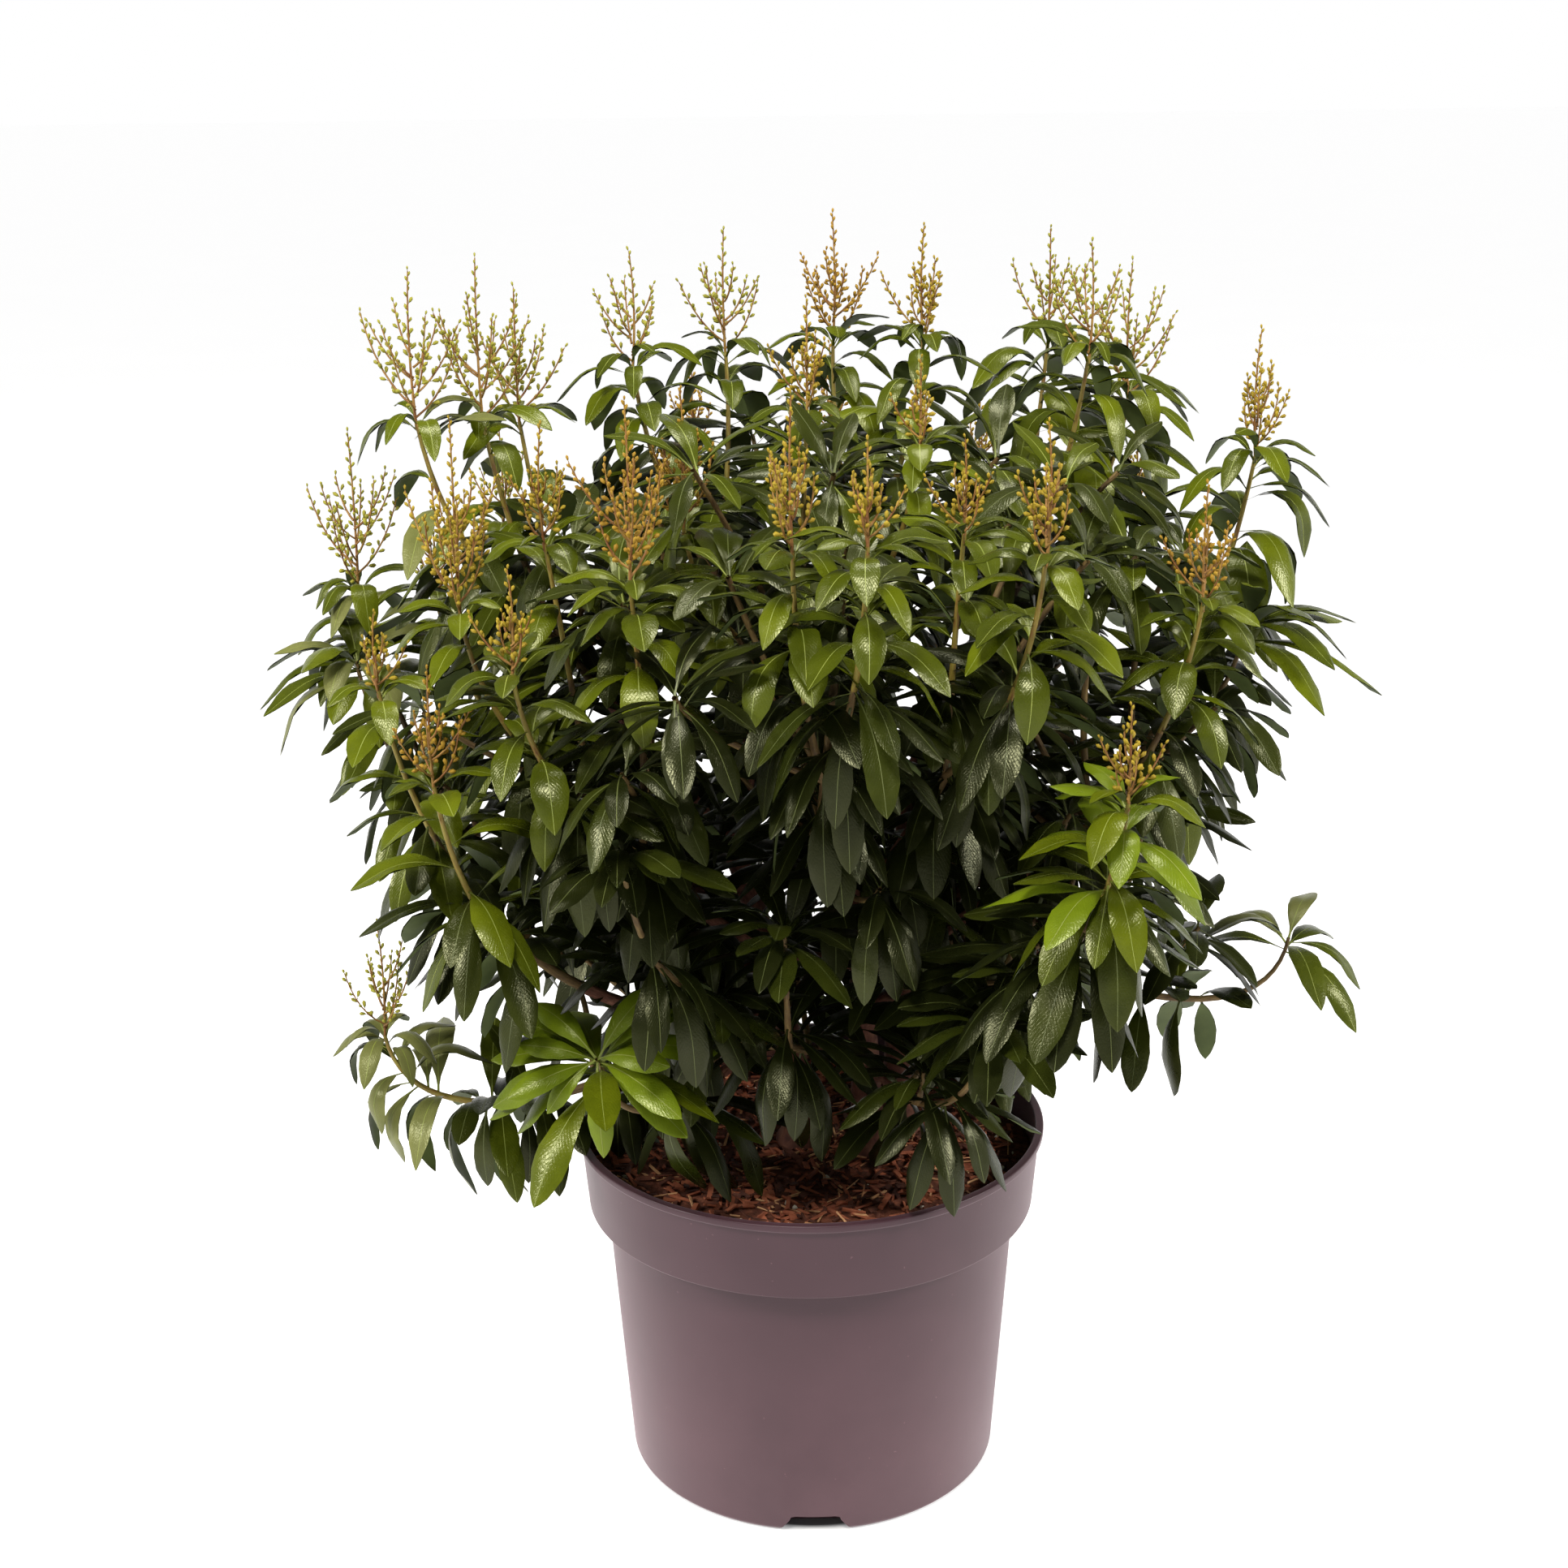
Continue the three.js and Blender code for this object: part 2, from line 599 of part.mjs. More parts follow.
function growMass(mass, index, keepClear) {
  const random = seeded(FIRST_SEED * (index + 1));
  const room = roomOf(mass, keepClear);
  const size = mass.leaf ?? 1;
  const [leader, ...others] = mass.shoots.map((shoot) => shoot.path);
  const whole = [...mass.stalk, ...leader.slice(1)];
  const radii = taper(TWIG.baseRadius, TWIG.tipRadius, whole.length);
  room.fill(limb(whole, radii, TWIG.sides, { first: mass.heading }));
  others.forEach((path) => {
    room.fill(limb(path, taper(TWIG.forkRadius, TWIG.tipRadius, path.length), TWIG.sides));
  });
  mass.shoots.filter((shoot) => shoot.panicle).forEach((shoot) => growPanicle(shoot, random, room));
  mass.shoots.forEach((shoot) => {
    const rows = [shoot.panicle ? NEW_LEAVES : TOP_LEAVES, OLD_LEAVES];
    rows.forEach((row) => growRow(shoot.path, row, size, random, room));
  });
  growRow(mass.stalk, FORK_LEAVES, size, random, room);
  return mainPiece(wasm.Manifold.union(room.grown));
}

// ---- The whole plant -----------------------------------------------------------------

const POT_CLEARANCE = 1; // between leaves and the pot or the soil

/** The pot and soil, a little larger all round. */
function potGuard() {
  return solidOf(lathe([
    [0, 0],
    [POT.baseRadius + POT_CLEARANCE, 0],
    [POT.bodyTopRadius + POT_CLEARANCE, POT.ledgeHeight - POT_CLEARANCE],
    [POT.lipRadius + POT_CLEARANCE, POT.ledgeHeight - POT_CLEARANCE],
    [POT.lipRadius + POT_CLEARANCE, POT.height + POT_CLEARANCE],
    [innerCollar - POT_CLEARANCE, POT.height + POT_CLEARANCE],
    [innerCollar - POT_CLEARANCE, SOIL.top + POT_CLEARANCE],
    [0, SOIL.top + POT_CLEARANCE],
  ]));
}

function build() {
  const plant = new THREE.Group();
  plant.add(potMesh(), soilMesh());

  stemLines.forEach((line, i) => {
    plant.add(meshOf(STEMS[i].name, geometryOf(growStem(line)), FINISH.bark));
  });

  const stemGuard = wasm.Manifold.union(stemLines.map((line) => growStem(line, GAP)));
  const boughPaths = masses.map(boughLine);
  boughPaths.forEach((path, i) => {
    const bough = growBough(path, masses[i].heading).subtract(stemGuard);
    plant.add(meshOf(`bough_${masses[i].name}`, geometryOf(bough), FINISH.bark));
  });

  const boughGuards = boughPaths.map((path, i) => growBough(path, masses[i].heading, GAP));
  const keepClear = wasm.Manifold.union([stemGuard, potGuard(), ...boughGuards]);
  masses.forEach((mass, i) => {
    plant.add(meshOf(`foliage_${mass.name}`, geometryOf(growMass(mass, i, keepClear)), FINISH.foliage));
  });
  return plant;
}

export default build();
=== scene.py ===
"""A pieris shrub in its nursery pot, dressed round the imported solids.

Stems, boughs, shoots, leaves and flower heads grow by the rule of the solids, carried on to
finer twigs, more leaves and single buds within the same reach. Lengths are millimetres with
the pot's axis at x = y = 0 and +Z up, and MM turns them into metres where a mesh is made.
"""
from collections import defaultdict, namedtuple
from math import ceil, cos, hypot, pi, radians, sin
from types import SimpleNamespace as Values

import bpy
import numpy as np
from mathutils import Matrix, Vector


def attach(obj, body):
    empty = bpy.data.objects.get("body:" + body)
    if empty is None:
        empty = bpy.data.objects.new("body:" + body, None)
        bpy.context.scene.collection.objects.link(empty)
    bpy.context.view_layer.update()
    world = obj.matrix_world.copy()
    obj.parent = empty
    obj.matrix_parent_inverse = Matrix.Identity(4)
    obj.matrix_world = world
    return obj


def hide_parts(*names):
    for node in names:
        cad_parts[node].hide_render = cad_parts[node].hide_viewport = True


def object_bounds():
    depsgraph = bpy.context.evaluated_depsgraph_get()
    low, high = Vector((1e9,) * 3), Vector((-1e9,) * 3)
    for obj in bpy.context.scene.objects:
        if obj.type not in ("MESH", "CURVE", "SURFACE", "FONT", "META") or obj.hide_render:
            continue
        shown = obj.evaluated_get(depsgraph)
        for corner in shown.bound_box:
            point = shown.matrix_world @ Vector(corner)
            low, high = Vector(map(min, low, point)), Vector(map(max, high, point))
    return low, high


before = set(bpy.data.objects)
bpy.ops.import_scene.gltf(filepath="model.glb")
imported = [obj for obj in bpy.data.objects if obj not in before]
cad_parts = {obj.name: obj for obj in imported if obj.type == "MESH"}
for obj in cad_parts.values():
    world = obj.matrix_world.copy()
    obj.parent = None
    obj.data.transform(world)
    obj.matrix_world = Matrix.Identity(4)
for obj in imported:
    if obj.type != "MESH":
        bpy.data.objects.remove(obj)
CAD_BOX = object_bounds()

MM = 0.001
X, Y, UP = np.eye(3)
GOLDEN_ANGLE = radians(137.5)

# ---- Sizes of the pot and the soil ----

POT = Values(height=215, base=112, body_top=123.6, collar=134.3, collar_top=138, lip=140.5,
             lip_height=5, ledge=167, wall=2.4, floor=3.2, foot=2.5, segments=160)
NOTCH = Values(count=4, below=43, above=29, height=11, round=3, depth=14)
SOIL = Values(top=196, crown=1.5, slope=12, rings=56, segments=150, into_wall=1.6, skirt=12)
GAP = 0.3  # between the soil and the foot of a stem

# ---- The rule that the solids grow by ----

STEM = Values(foot=16, neck=11, tip=6.2, flare=16, upright=0.4, steps=5, slimmer=0.92, root=1.2)
STEMS = [  # left, front and back
    dict(foot=(-6, 4), tip=(-48, -6), top=402),
    dict(foot=(34, -10), tip=(26, -56), top=384),
    dict(foot=(54, 18), tip=(62, 52), top=412),
]
BOUGH = Values(start=4.2, tip=3.3, lowest=26, crowding=0.85, rise=0.4, run=0.78, climb=0.85, steep=0.2)
TWIG = Values(base=2.8, fork=2.2, tip=1.1, green=84)  # the last part of a shoot is still green
SIDES = Values(stem=20, bough=12, shoot=9, aside=7, twig=6)
BARK_DEPTH = Values(limb=0.07, twig=0.05, green=0.04)  # of its relief, as a share of the radius
SEAT = Values(inward=0.62, drop=160)
SHOOT = Values(fork_at=0.24, upright=0.55, lean=0.16)

# A row of leaves: how many, the nearest and the farthest down from the head of the shoot, and
# their length, their rise above the shoot's cross plane and their bend, both in degrees. A pair
# runs from the uppermost leaf to the lowest.
Row = namedtuple("Row", "count near far length rise bend")
NEW_LEAVES = Row(5, 4, 66, (46, 76), (42, 2), 48)
OLD_LEAVES = Row(4, 78, 88, (76, 88), (-4, -34), 30)
FORK_LEAVES = Row(4, 2, 12, (76, 88), (-6, -38), 28)
TOP_LEAVES = Row(8, 1, 9, (60, 82), (44, -10), 34)
VARIES = Values(turn=0.5, length=0.2, rise=0.5, bend=0.6)
LEAF_SIZES = (1, 0.82, 0.68)
LEAF_TURNS = (0, 0.5, -0.5)

SPIKE = Values(each=30, length=0.52, varies=0.1, shrink=0.3, rise=1.15, lowest=0.08, spread=0.3)

# Each mass: its stem, and its shoots as (across, back, height of the tip, panicle length), then
# for some the place of its seat and the size of its leaves. A shoot with no panicle ends in a
# rosette of leaves.
MASSES = [
    ("left_top", 0, [(-179, 20, 722, 89), (-213, 0, 717, 81), (-162, 50, 703, 75)]),
    ("left_tip", 0, [(-255, 20, 627, 88), (-254, -6, 502, 0)]),
    ("left_front", 0, [(-179, -110, 652, 100), (-137, -80, 644, 61)]),
    ("left_low_front", 0, [(-220, -130, 558, 40), (-185, -190, 543, 58)]),
    ("front_left", 1, [(-87, -170, 669, 88), (-144, -190, 592, 50)]),
    ("front", 1, [(-8, -215, 677, 72), (26, -240, 659, 47)]),
    ("front_right", 1, [(110, -215, 663, 63), (77, -150, 646, 47)]),
    ("middle", 1, [(-65, -60, 659, 72), (60, -70, 675, 44), (2, -5, 700, 60)]),
    ("right_front", 1, [(200, -130, 618, 60)]),
    ("right_tip", 2, [(254, 20, 678, 69), (244, -24, 520, 0)]),
    ("right_top", 2, [(198, 130, 707, 80), (164, 60, 723, 63), (151, 150, 725, 66)]),
    ("right_low_front", 1, [(150, -230, 532, 47)], (92, -112, 345), 1.1),
    ("right_low", 1, [(190, -60, 432, 0)], (112, -14, 322)),
    ("right_low_side", 2, [(292, 36, 312, 0)], (150, 24, 304), 0.75),
    ("left_low", 0, [(-95, -185, 450, 0)], (-60, -100, 340)),
    ("low_left", 0, [(-246, -40, 356, 68)], (-118, -30, 254), 0.85),
    ("low_front_left", 0, [(-113, -135, 311, 0)], (-52, -56, 268), 1.08),
    ("low_front", 1, [(-14, -150, 392, 0), (-52, -112, 336, 0)], (2, -78, 292)),
    ("low_right", 1, [(92, -165, 347, 0), (61, -118, 296, 0)], (48, -62, 262)),
    ("back_left_top", 0, [(-99, 90, 719, 64), (-45, 120, 728, 70)]),
    ("back_top", 2, [(20, 155, 735, 75), (72, 105, 730, 66)]),
    ("back_left", 0, [(-185, 140, 612, 60), (-222, 90, 570, 50)]),
    ("back", 2, [(-70, 235, 640, 62), (20, 255, 646, 66)]),
    ("back_right", 2, [(118, 235, 622, 60), (212, 184, 604, 58)]),
    ("back_low_left", 0, [(-112, 172, 452, 0)]),
    ("back_low_right", 2, [(122, 192, 440, 0)]),
]
FIRST_SEED = 1009

# ---- What the scene carries further ----

MORE_SEED = 52021
COLLAR_LEAVES = Row(5, 0, 8, (30, 50), (54, 26), 56)
MORE_NEW = Row(9, 9, 56, (46, 66), (40, 0), 54)
MORE_OLD = Row(8, 72, 90, (66, 86), (24, -40), 36)
THIRD_LEAVES = Row(9, 112, 126, (66, 84), (16, -44), 34)
MORE_FORK = Row(7, 0, 16, (66, 86), (14, -44), 34)
MORE_TOP = Row(9, 0, 12, (44, 84), (72, -6), 36)
ROSETTE = Row(14, 0, 8, (44, 76), (52, -12), 40)
SKIRT = Row(13, 46, 56, (62, 88), (26, -52), 34)
TWIG_LEAVES = Row(12, 0, 12, (60, 82), (46, -34), 36)
BRANCH_LEAVES = Row(9, 0, 9, (64, 84), (26, -36), 34)
BRANCH = Values(first=156, apart=46, inner=70)  # whorls down each branch, and how near the axis they stop
SIDE_TURNS = (0, 0.35, -0.35, 0.75, -0.75, 1.15, -1.15)
SIDE_SIZES = (1, 0.85)

# Centres of whorls on side twigs that show from the front.
OWN_WHORLS = [
    (-184, -40, 240), (262, 30, 292), (232, 8, 330), (-165, -160, 432), (-92, -200, 493), (-65, -210, 534),
    (26, -190, 470), (-63, -170, 430), (154, -196, 429), (84, -190, 505), (-20, -200, 560), (205, -110, 470),
]

# Whorls between the boughs, level by level: the height, and how far out they sit to the left,
# right, front and back.
FILL_LEVELS = [
    (296, 104, 118, 78, 112),
    (334, 150, 166, 104, 146),
    (372, 182, 196, 130, 172),
    (412, 198, 222, 156, 190),
    (452, 208, 236, 176, 204),
    (492, 222, 246, 190, 214),
    (532, 206, 242, 192, 216),
    (572, 136, 212, 166, 204),
    (612, 96, 176, 120, 170),
]
# They stay clear of the whorls of a shoot, which sit at these distances down from its head.
FILL = Values(rings=(1, 0.6), apart=60, jitter=12, clear=44, climb=18, pull=0.45, up=0.6, out=0.6,
              radius=(2, 1.4), sizes=(1, 0.85, 0.7), whorls=(6, 60, 84))
# Fill whorls above these heights get paler tones, painted light; lower ones get darker tones, painted shade.
SUNNY = Values(left_of=-150, from_left=400, from_right=550)  # above these heights they are paler
# Gaps that the added leaves leave open: centre and radius.
CLEARINGS = [
    (-165, -60, 305, 46), (-150, -130, 352, 34), (-205, -60, 350, 40), (-128, -170, 322, 56),
    (-100, -150, 280, 46),
    (176, -30, 258, 42), (215, 20, 262, 34),
    (36, -70, 262, 30), (30, -110, 240, 34),
]

# Which masses look alike, by their leaves' colours and by how many are added.
BRIGHT_MASSES = ("low_front_left", "right_low_front")
# Many new leaves of these masses, and some of these tops, get the pale tone: painted light for leaves lit
# from behind.
BACKLIT_PALE_MASSES = ("low_left", "right_low_side")
BACKLIT_PALER_TOPS = ("left_top", "left_tip")
SPARSE_MASSES = ("low_front_left", "right_low_side")
OPEN_MASSES = ("left_top", "left_front", "left_low_front", "back_left")
# These masses get fresher tones: painted light.
SUNNY_MASSES = ("left_front", "left_low_front", "back_left")
AIRY_MASSES = ("left_top", "left_tip", "right_top", "right_tip", "back_left_top", "back_top", "back_right")
# These low masses get dark tones, on their new leaves too: painted shade under the crown.
SHADED_MASSES = ("low_front", "low_right", "right_low", "left_low", "back_low_left", "back_low_right")
GREEN_BUDS = ("left_top", "left_tip", "low_left", "back_left_top", "right_top", "back_left")
SKIRTED = ("right_low_front",)  # masses with a whorl of old leaves close under the new ones
LARGER_LEAVES = {"right_low_side": 1.35, "low_left": 1.12, "right_top": 1.15, "right_tip": 1.15}
FACING = {"low_front_left": (-0.12, -0.80, 0.58)}  # the way that the rosette of a mass faces
FACING_TWIG = Values(back=14, out=12, radius=(1.5, 1.1))

# The leaf forms: width as a share of the length, the powers that round the two ends, how the
# dealt length and bend change, the degrees that the leaf lifts, and how far its blade turns to
# face the way of its shoot.
LEAF_FORMS = {
    "new": Values(width=0.34, base=1.05, tip=0.88, shorter=0.88, longest=58, lift=4, bend=1.2, faces=0),
    "arched": Values(width=0.25, base=1.1, tip=0.86, shorter=1.06, longest=78, lift=9, bend=1.65, faces=0),
    "old": Values(width=0.26, base=1.15, tip=0.76, shorter=0.8, longest=70, lift=13, bend=1.15, faces=0),
    "rosette": Values(width=0.27, base=1.25, tip=0.78, shorter=1, longest=76, lift=0, bend=1, faces=0.7),
}
LEAF_ROWS = np.array([0, 0.06, 0.13, 0.21, 0.29, 0.37, 0.45, 0.53, 0.61, 0.69, 0.77, 0.85, 0.92, 0.97, 1])
LEAF_COLUMNS = np.array([-1, -0.55, 0, 0.55, 1])
LEAF_PLACES = np.stack(np.meshgrid((LEAF_COLUMNS + 1) / 2, LEAF_ROWS), axis=2)
FREE_FROM = 6  # the first row of points that keeps clear of other leaves
PETIOLE = Values(end=0.07, half=0.7)
LEAF_SHAPE = Values(bend_from=0.08, bend_over=0.76, cup=0.46, roll=0.50, teeth=0.02, toothed=0.3,
                    wave=0.06, waves=17, twist=0.5, sickle=0.07, point=0.25)
BACK = Values(below=0.35, width=0.96)
RIB = Values(foot=0.75, neck=0.3, neck_at=0.14, tip=0.12, above=0.10)  # half its width, and its height

# A bud: its stalk, its own measures, and its size at the foot and at the tip of a raceme.
BUD = Values(stalk=1.2, stalk_radius=0.26, length=4.8, radius=1.15, sides=5, sizes=(1.05, 0.62))
RACEME = Values(foot=0.7, tip=0.35, sides=4, bare=0.1, curve=0.09, pull=0.45, slant=0.6)
LEADER = Values(thicker=1.25, bare=0.42, below=4, sway=8)  # the raceme in the middle of a panicle
# How far apart the buds of a raceme are, one more side raceme for each so much panicle, and how
# long and how steep these are.
PANICLES = {
    "green": Values(spacing=3.1, each=12, length=0.60, rise=1.5),
    "gold": Values(spacing=2.4, each=9, length=0.42, rise=2.3),
    "ochre": Values(spacing=2.6, each=10, length=0.46, rise=2.0),
}

# Each tone of leaf: its light and dark colour, linear, its roughness and its specular level.
LEAF_TONES = {
    "bright": ((0.116, 0.158, 0.005), (0.083, 0.118, 0.004), 0.28, 0.34),
    "fresh": ((0.082, 0.100, 0.0025), (0.055, 0.070, 0.0020), 0.26, 0.33),
    # Painted light: the pale tone stands for leaves lit from behind, paler and greyer.
    "pale": ((0.135, 0.142, 0.044), (0.095, 0.102, 0.029), 0.30, 0.24),
    "mid": ((0.052, 0.065, 0.0026), (0.034, 0.044, 0.0020), 0.26, 0.31),
    "deep": ((0.0225, 0.0280, 0.0026), (0.0145, 0.0190, 0.0020), 0.27, 0.30),
    "old": ((0.0104, 0.0127, 0.0021), (0.0064, 0.0081, 0.0016), 0.28, 0.28),
}
VEINS = Values(along=78.0, slant=34.0, sharpness=0.35)
DARK, OLD = ("deep", "old"), ("old",)
PIECE_LIMIT = 1100  # leaves in one joined piece


# ---- Small mathematics ----

MASK = 0xFFFFFFFF


def seeded(seed):
    """Seeded numbers from 0 to 1, the same as the solids' own."""
    state = seed & MASK

    def draw():
        nonlocal state
        state = (state + 0x6D2B79F5) & MASK
        mixed = (state ^ (state >> 15)) * (state | 1) & MASK
        mixed ^= (mixed + ((mixed ^ (mixed >> 7)) * (mixed | 61) & MASK)) & MASK
        return ((mixed ^ (mixed >> 14)) & MASK) / 4294967296

    return draw


def mix(a, b, t):
    return a + (b - a) * t


def smooth(t):
    t = np.clip(t, 0, 1)
    return t * t * (3 - 2 * t)


def vec(*xyz):
    return np.array(xyz, float)


def size_of(v):
    return float(np.sqrt(v @ v))


def unit(v):
    return v / size_of(v)


def cross(a, b):
    return vec(a[1] * b[2] - a[2] * b[1], a[2] * b[0] - a[0] * b[2], a[0] * b[1] - a[1] * b[0])


def turned(v, axis, angle):
    return v * cos(angle) + cross(axis, v) * sin(angle) + axis * ((axis @ v) * (1 - cos(angle)))


def guide_for(heading):
    """An axis that lies well off a heading."""
    return X if abs(heading[0]) < 0.8 else Y


def frame_along(axis):
    """Three directions as columns, the last one along the axis."""
    side = unit(cross(axis, guide_for(axis)))
    return np.stack([side, cross(axis, side), axis], axis=1)


def circle(count):
    return np.linspace(0, 2 * pi, count, endpoint=False)


def bend(start, pull, end, steps):
    """Points of a curve that leaves `start` towards `pull` and comes into `end` from it."""
    t = np.linspace(0, 1, steps + 1)[:, None]
    return (1 - t) ** 2 * start + 2 * t * (1 - t) * pull + t ** 2 * end


def runs_of(path):
    return np.linalg.norm(np.diff(path, axis=0), axis=1)


def place_on(path, down):
    """Point and heading of a path at a distance down from its end, or None past its start."""
    for i in range(len(path) - 1, 0, -1):
        run = size_of(path[i] - path[i - 1])
        if down <= run:
            heading = (path[i] - path[i - 1]) / run
            return path[i] - heading * down, heading
        down -= run
    return None


# ---- Meshes gathered from many small parts ----

def grid_faces(rows, columns, closed=False):
    """Quads between the neighbouring points of a grid, its rows closed into rings or not."""
    across = columns if closed else columns - 1
    i, j = np.meshgrid(np.arange(rows - 1), np.arange(across), indexing="ij")
    a = (i * columns + j).ravel()
    b = (i * columns + (j + 1) % columns).ravel()
    return np.stack([a, b, b + columns, a + columns], axis=1)


def ring_places(path, turn, scale=1):
    """Texture places of rings of points along a path: turns across, and the run along."""
    run = np.concatenate([[0], np.cumsum(runs_of(path))])[:, None]
    return np.stack(np.broadcast_arrays(turn[None, :] / (2 * pi), run * scale), axis=2)


def ring_sides(path):
    """Two directions across a path at each of its points, that don't turn about it."""
    along = np.gradient(path, axis=0)
    along /= np.linalg.norm(along, axis=1, keepdims=True)
    side = guide_for(along[0])
    sides = []
    for heading in along:
        side = unit(side - heading * (side @ heading))
        sides.append(side)
    return np.array(sides), np.cross(along, sides)


class Heap:
    """Points, faces and texture places of many small parts that become one mesh."""

    def __init__(self):
        self.points, self.faces, self.places, self.count, self.parts = [], [], [], 0, 0

    def add(self, points, faces, places=None):
        points = np.asarray(points).reshape(-1, 3)
        self.points.append(points)
        self.places.append(np.zeros((len(points), 2)) if places is None else places.reshape(-1, 2))
        self.faces += [f + self.count for f in faces]
        self.count += len(points)
        self.parts += 1

    def add_grid(self, points, places, closed=False):
        self.add(points, [grid_faces(*points.shape[:2], closed)], places)

    def add_solid(self, points, places=None):
        """Adds rings of points with a flat end on the first and on the last."""
        rings, count = points.shape[:2]
        ends = [np.arange(count)[::-1][None, :], (rings - 1) * count + np.arange(count)[None, :]]
        self.add(points, [grid_faces(rings, count, True), *ends], places)

    def add_tube(self, path, radii, sides, relief=None):
        """Adds a tube along a path, open at both ends."""
        path, turn = np.asarray(path), circle(sides)
        side, other = ring_sides(path)
        places = ring_places(path, turn)
        radius = np.broadcast_to(np.asarray(radii, float)[:, None], (len(path), sides))
        if relief is not None:
            radius = radius * relief(places[:, :1, 1], turn[None, :])
        points = (path[:, None] + side[:, None] * (radius * np.cos(turn))[..., None]
                  + other[:, None] * (radius * np.sin(turn))[..., None])
        self.add_grid(points, places, closed=True)

    def mesh(self, name):
        mesh = bpy.data.meshes.new(name)
        points = np.concatenate(self.points) * MM
        mesh.vertices.add(len(points))
        mesh.vertices.foreach_set("co", points.astype(np.float32).ravel())
        corners = np.concatenate([f.ravel() for f in self.faces])
        sizes = np.concatenate([np.full(len(f), f.shape[1]) for f in self.faces])
        mesh.loops.add(len(corners))
        mesh.loops.foreach_set("vertex_index", corners.astype(np.int32))
        mesh.polygons.add(len(sizes))
        mesh.polygons.foreach_set("loop_start", (np.cumsum(sizes) - sizes).astype(np.int32))
        mesh.update(calc_edges=True)
        layer = mesh.uv_layers.new(name="places")
        layer.data.foreach_set("uv", np.concatenate(self.places)[corners].astype(np.float32).ravel())
        mesh.validate()
        return mesh

    def show(self, name, finish, slot, nodes=(), shade_smooth=True):
        show_piece(name, self.mesh(name), finish, nodes, shade_smooth)


def put(name, data):
    """A new object in the scene."""
    item = bpy.data.objects.new(name, data)
    bpy.context.scene.collection.objects.link(item)
    return item


def show_piece(name, mesh, finish, nodes=(), shade_smooth=True):
    """A shown piece of the part that rides with the pot and stands for some solids."""
    mesh.polygons.foreach_set("use_smooth", np.full(len(mesh.polygons), shade_smooth))
    piece = put(name, mesh)
    mesh.materials.append(finish)
    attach(piece, "root")
    if nodes:
        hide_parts(*nodes)


# ---- Where stems, boughs and shoots run ----

class Stem:
    """Axis of one stem, as the solids' own line of points and as the ends of a smooth curve."""

    def __init__(self, foot, tip, top):
        ground = SOIL.top + GAP
        self.top = top
        self.ends = (vec(*foot, ground), vec(*foot, mix(ground, top, STEM.upright)), vec(*tip, top))
        path = list(bend(*self.ends, STEM.steps))
        path[1:1] = [vec(*foot, ground + STEM.flare / 3), vec(*foot, ground + STEM.flare)]
        self.path = np.array(path)

    def at_height(self, height):
        above = max(1, int(np.argmax(self.path[:, 2] >= height)))
        low, high = self.path[above - 1], self.path[above]
        return mix(low, high, (height - low[2]) / (high[2] - low[2]))


class Mass:
    """One mass of foliage: where it sits and how its stalk and shoots run."""

    def __init__(self, index, name, stem, shoots, seat=None, leaf=1):
        self.index, self.name, self.stem = index, name, stem
        self.leaf = leaf * LARGER_LEAVES.get(name, 1)
        tips = [vec(x, y, z) for x, y, z, _ in shoots]
        heads = [vec(x, y, z - panicle) for x, y, z, panicle in shoots]
        tip, head = np.mean(tips, axis=0), np.mean(heads, axis=0)
        common = (tip[0] * SEAT.inward, tip[1] * SEAT.inward, head[2] - SEAT.drop)
        self.seat = vec(*(seat or common))
        pull = pull_to(self.seat, head)
        at = SHOOT.fork_at
        fork = mix(mix(self.seat, pull, at), mix(pull, head, at), at)
        self.stalk = bend(self.seat, mix(self.seat, pull, at), fork, 6)
        self.heading = unit(pull - self.seat)
        self.shoots = [Values(path=bend(fork, pull_to(fork, head), head, 12), tip=tip, panicle=row[3])
                       for tip, head, row in zip(tips, heads, shoots)]


def pull_to(start, end):
    """The point that pulls a shoot upright before it reaches its end, leaning a little inward."""
    lean = unit(unit(vec(end[0], end[1], 0)) * -SHOOT.lean - UP)
    return end + lean * (SHOOT.upright * size_of(end - start))


def bough_line(mass, masses, stems):
    """The bough of a mass: it leaves its stem lower the lower its mass sits."""
    stem = stems[mass.stem]
    mates = sorted((m for m in masses if m.stem == mass.stem), key=lambda m: m.seat[2])
    first, last = SOIL.top + BOUGH.lowest, stem.top - BOUGH.start
    rank = (mates.index(mass) / (len(mates) - 1)) ** BOUGH.crowding
    ranked = stem.at_height(mix(first, last, rank))
    reach = hypot(mass.seat[0] - ranked[0], mass.seat[1] - ranked[1])
    low_enough = min(ranked[2], mass.seat[2] - BOUGH.rise * reach)
    start, end = stem.at_height(max(first, low_enough)), mass.seat
    steepest = BOUGH.climb * (end[2] - start[2]) / max(mass.heading[2], BOUGH.steep)
    run = min(BOUGH.run * size_of(end - start), steepest)
    return bend(start, end - mass.heading * run, end, 16)


# ---- Leaves ----

def deal_row(row, draw):
    """The leaves of one row, counted down from the head of a shoot, dealt as for the solids."""
    def vary(by):
        return 1 - by / 2 + by * draw()

    first = draw() * 2 * pi
    leaves = []
    for i in range(row.count):
        t = i / (row.count - 1)
        leaves.append(Values(
            down=mix(row.near, row.far, t),
            turn=first + i * GOLDEN_ANGLE + (draw() - 0.5) * VARIES.turn,
            length=mix(*row.length, t) * vary(VARIES.length),
            rise=radians(mix(*row.rise, mix(t, draw(), VARIES.rise))),
            bend=radians(row.bend * vary(VARIES.bend)),
        ))
    return leaves


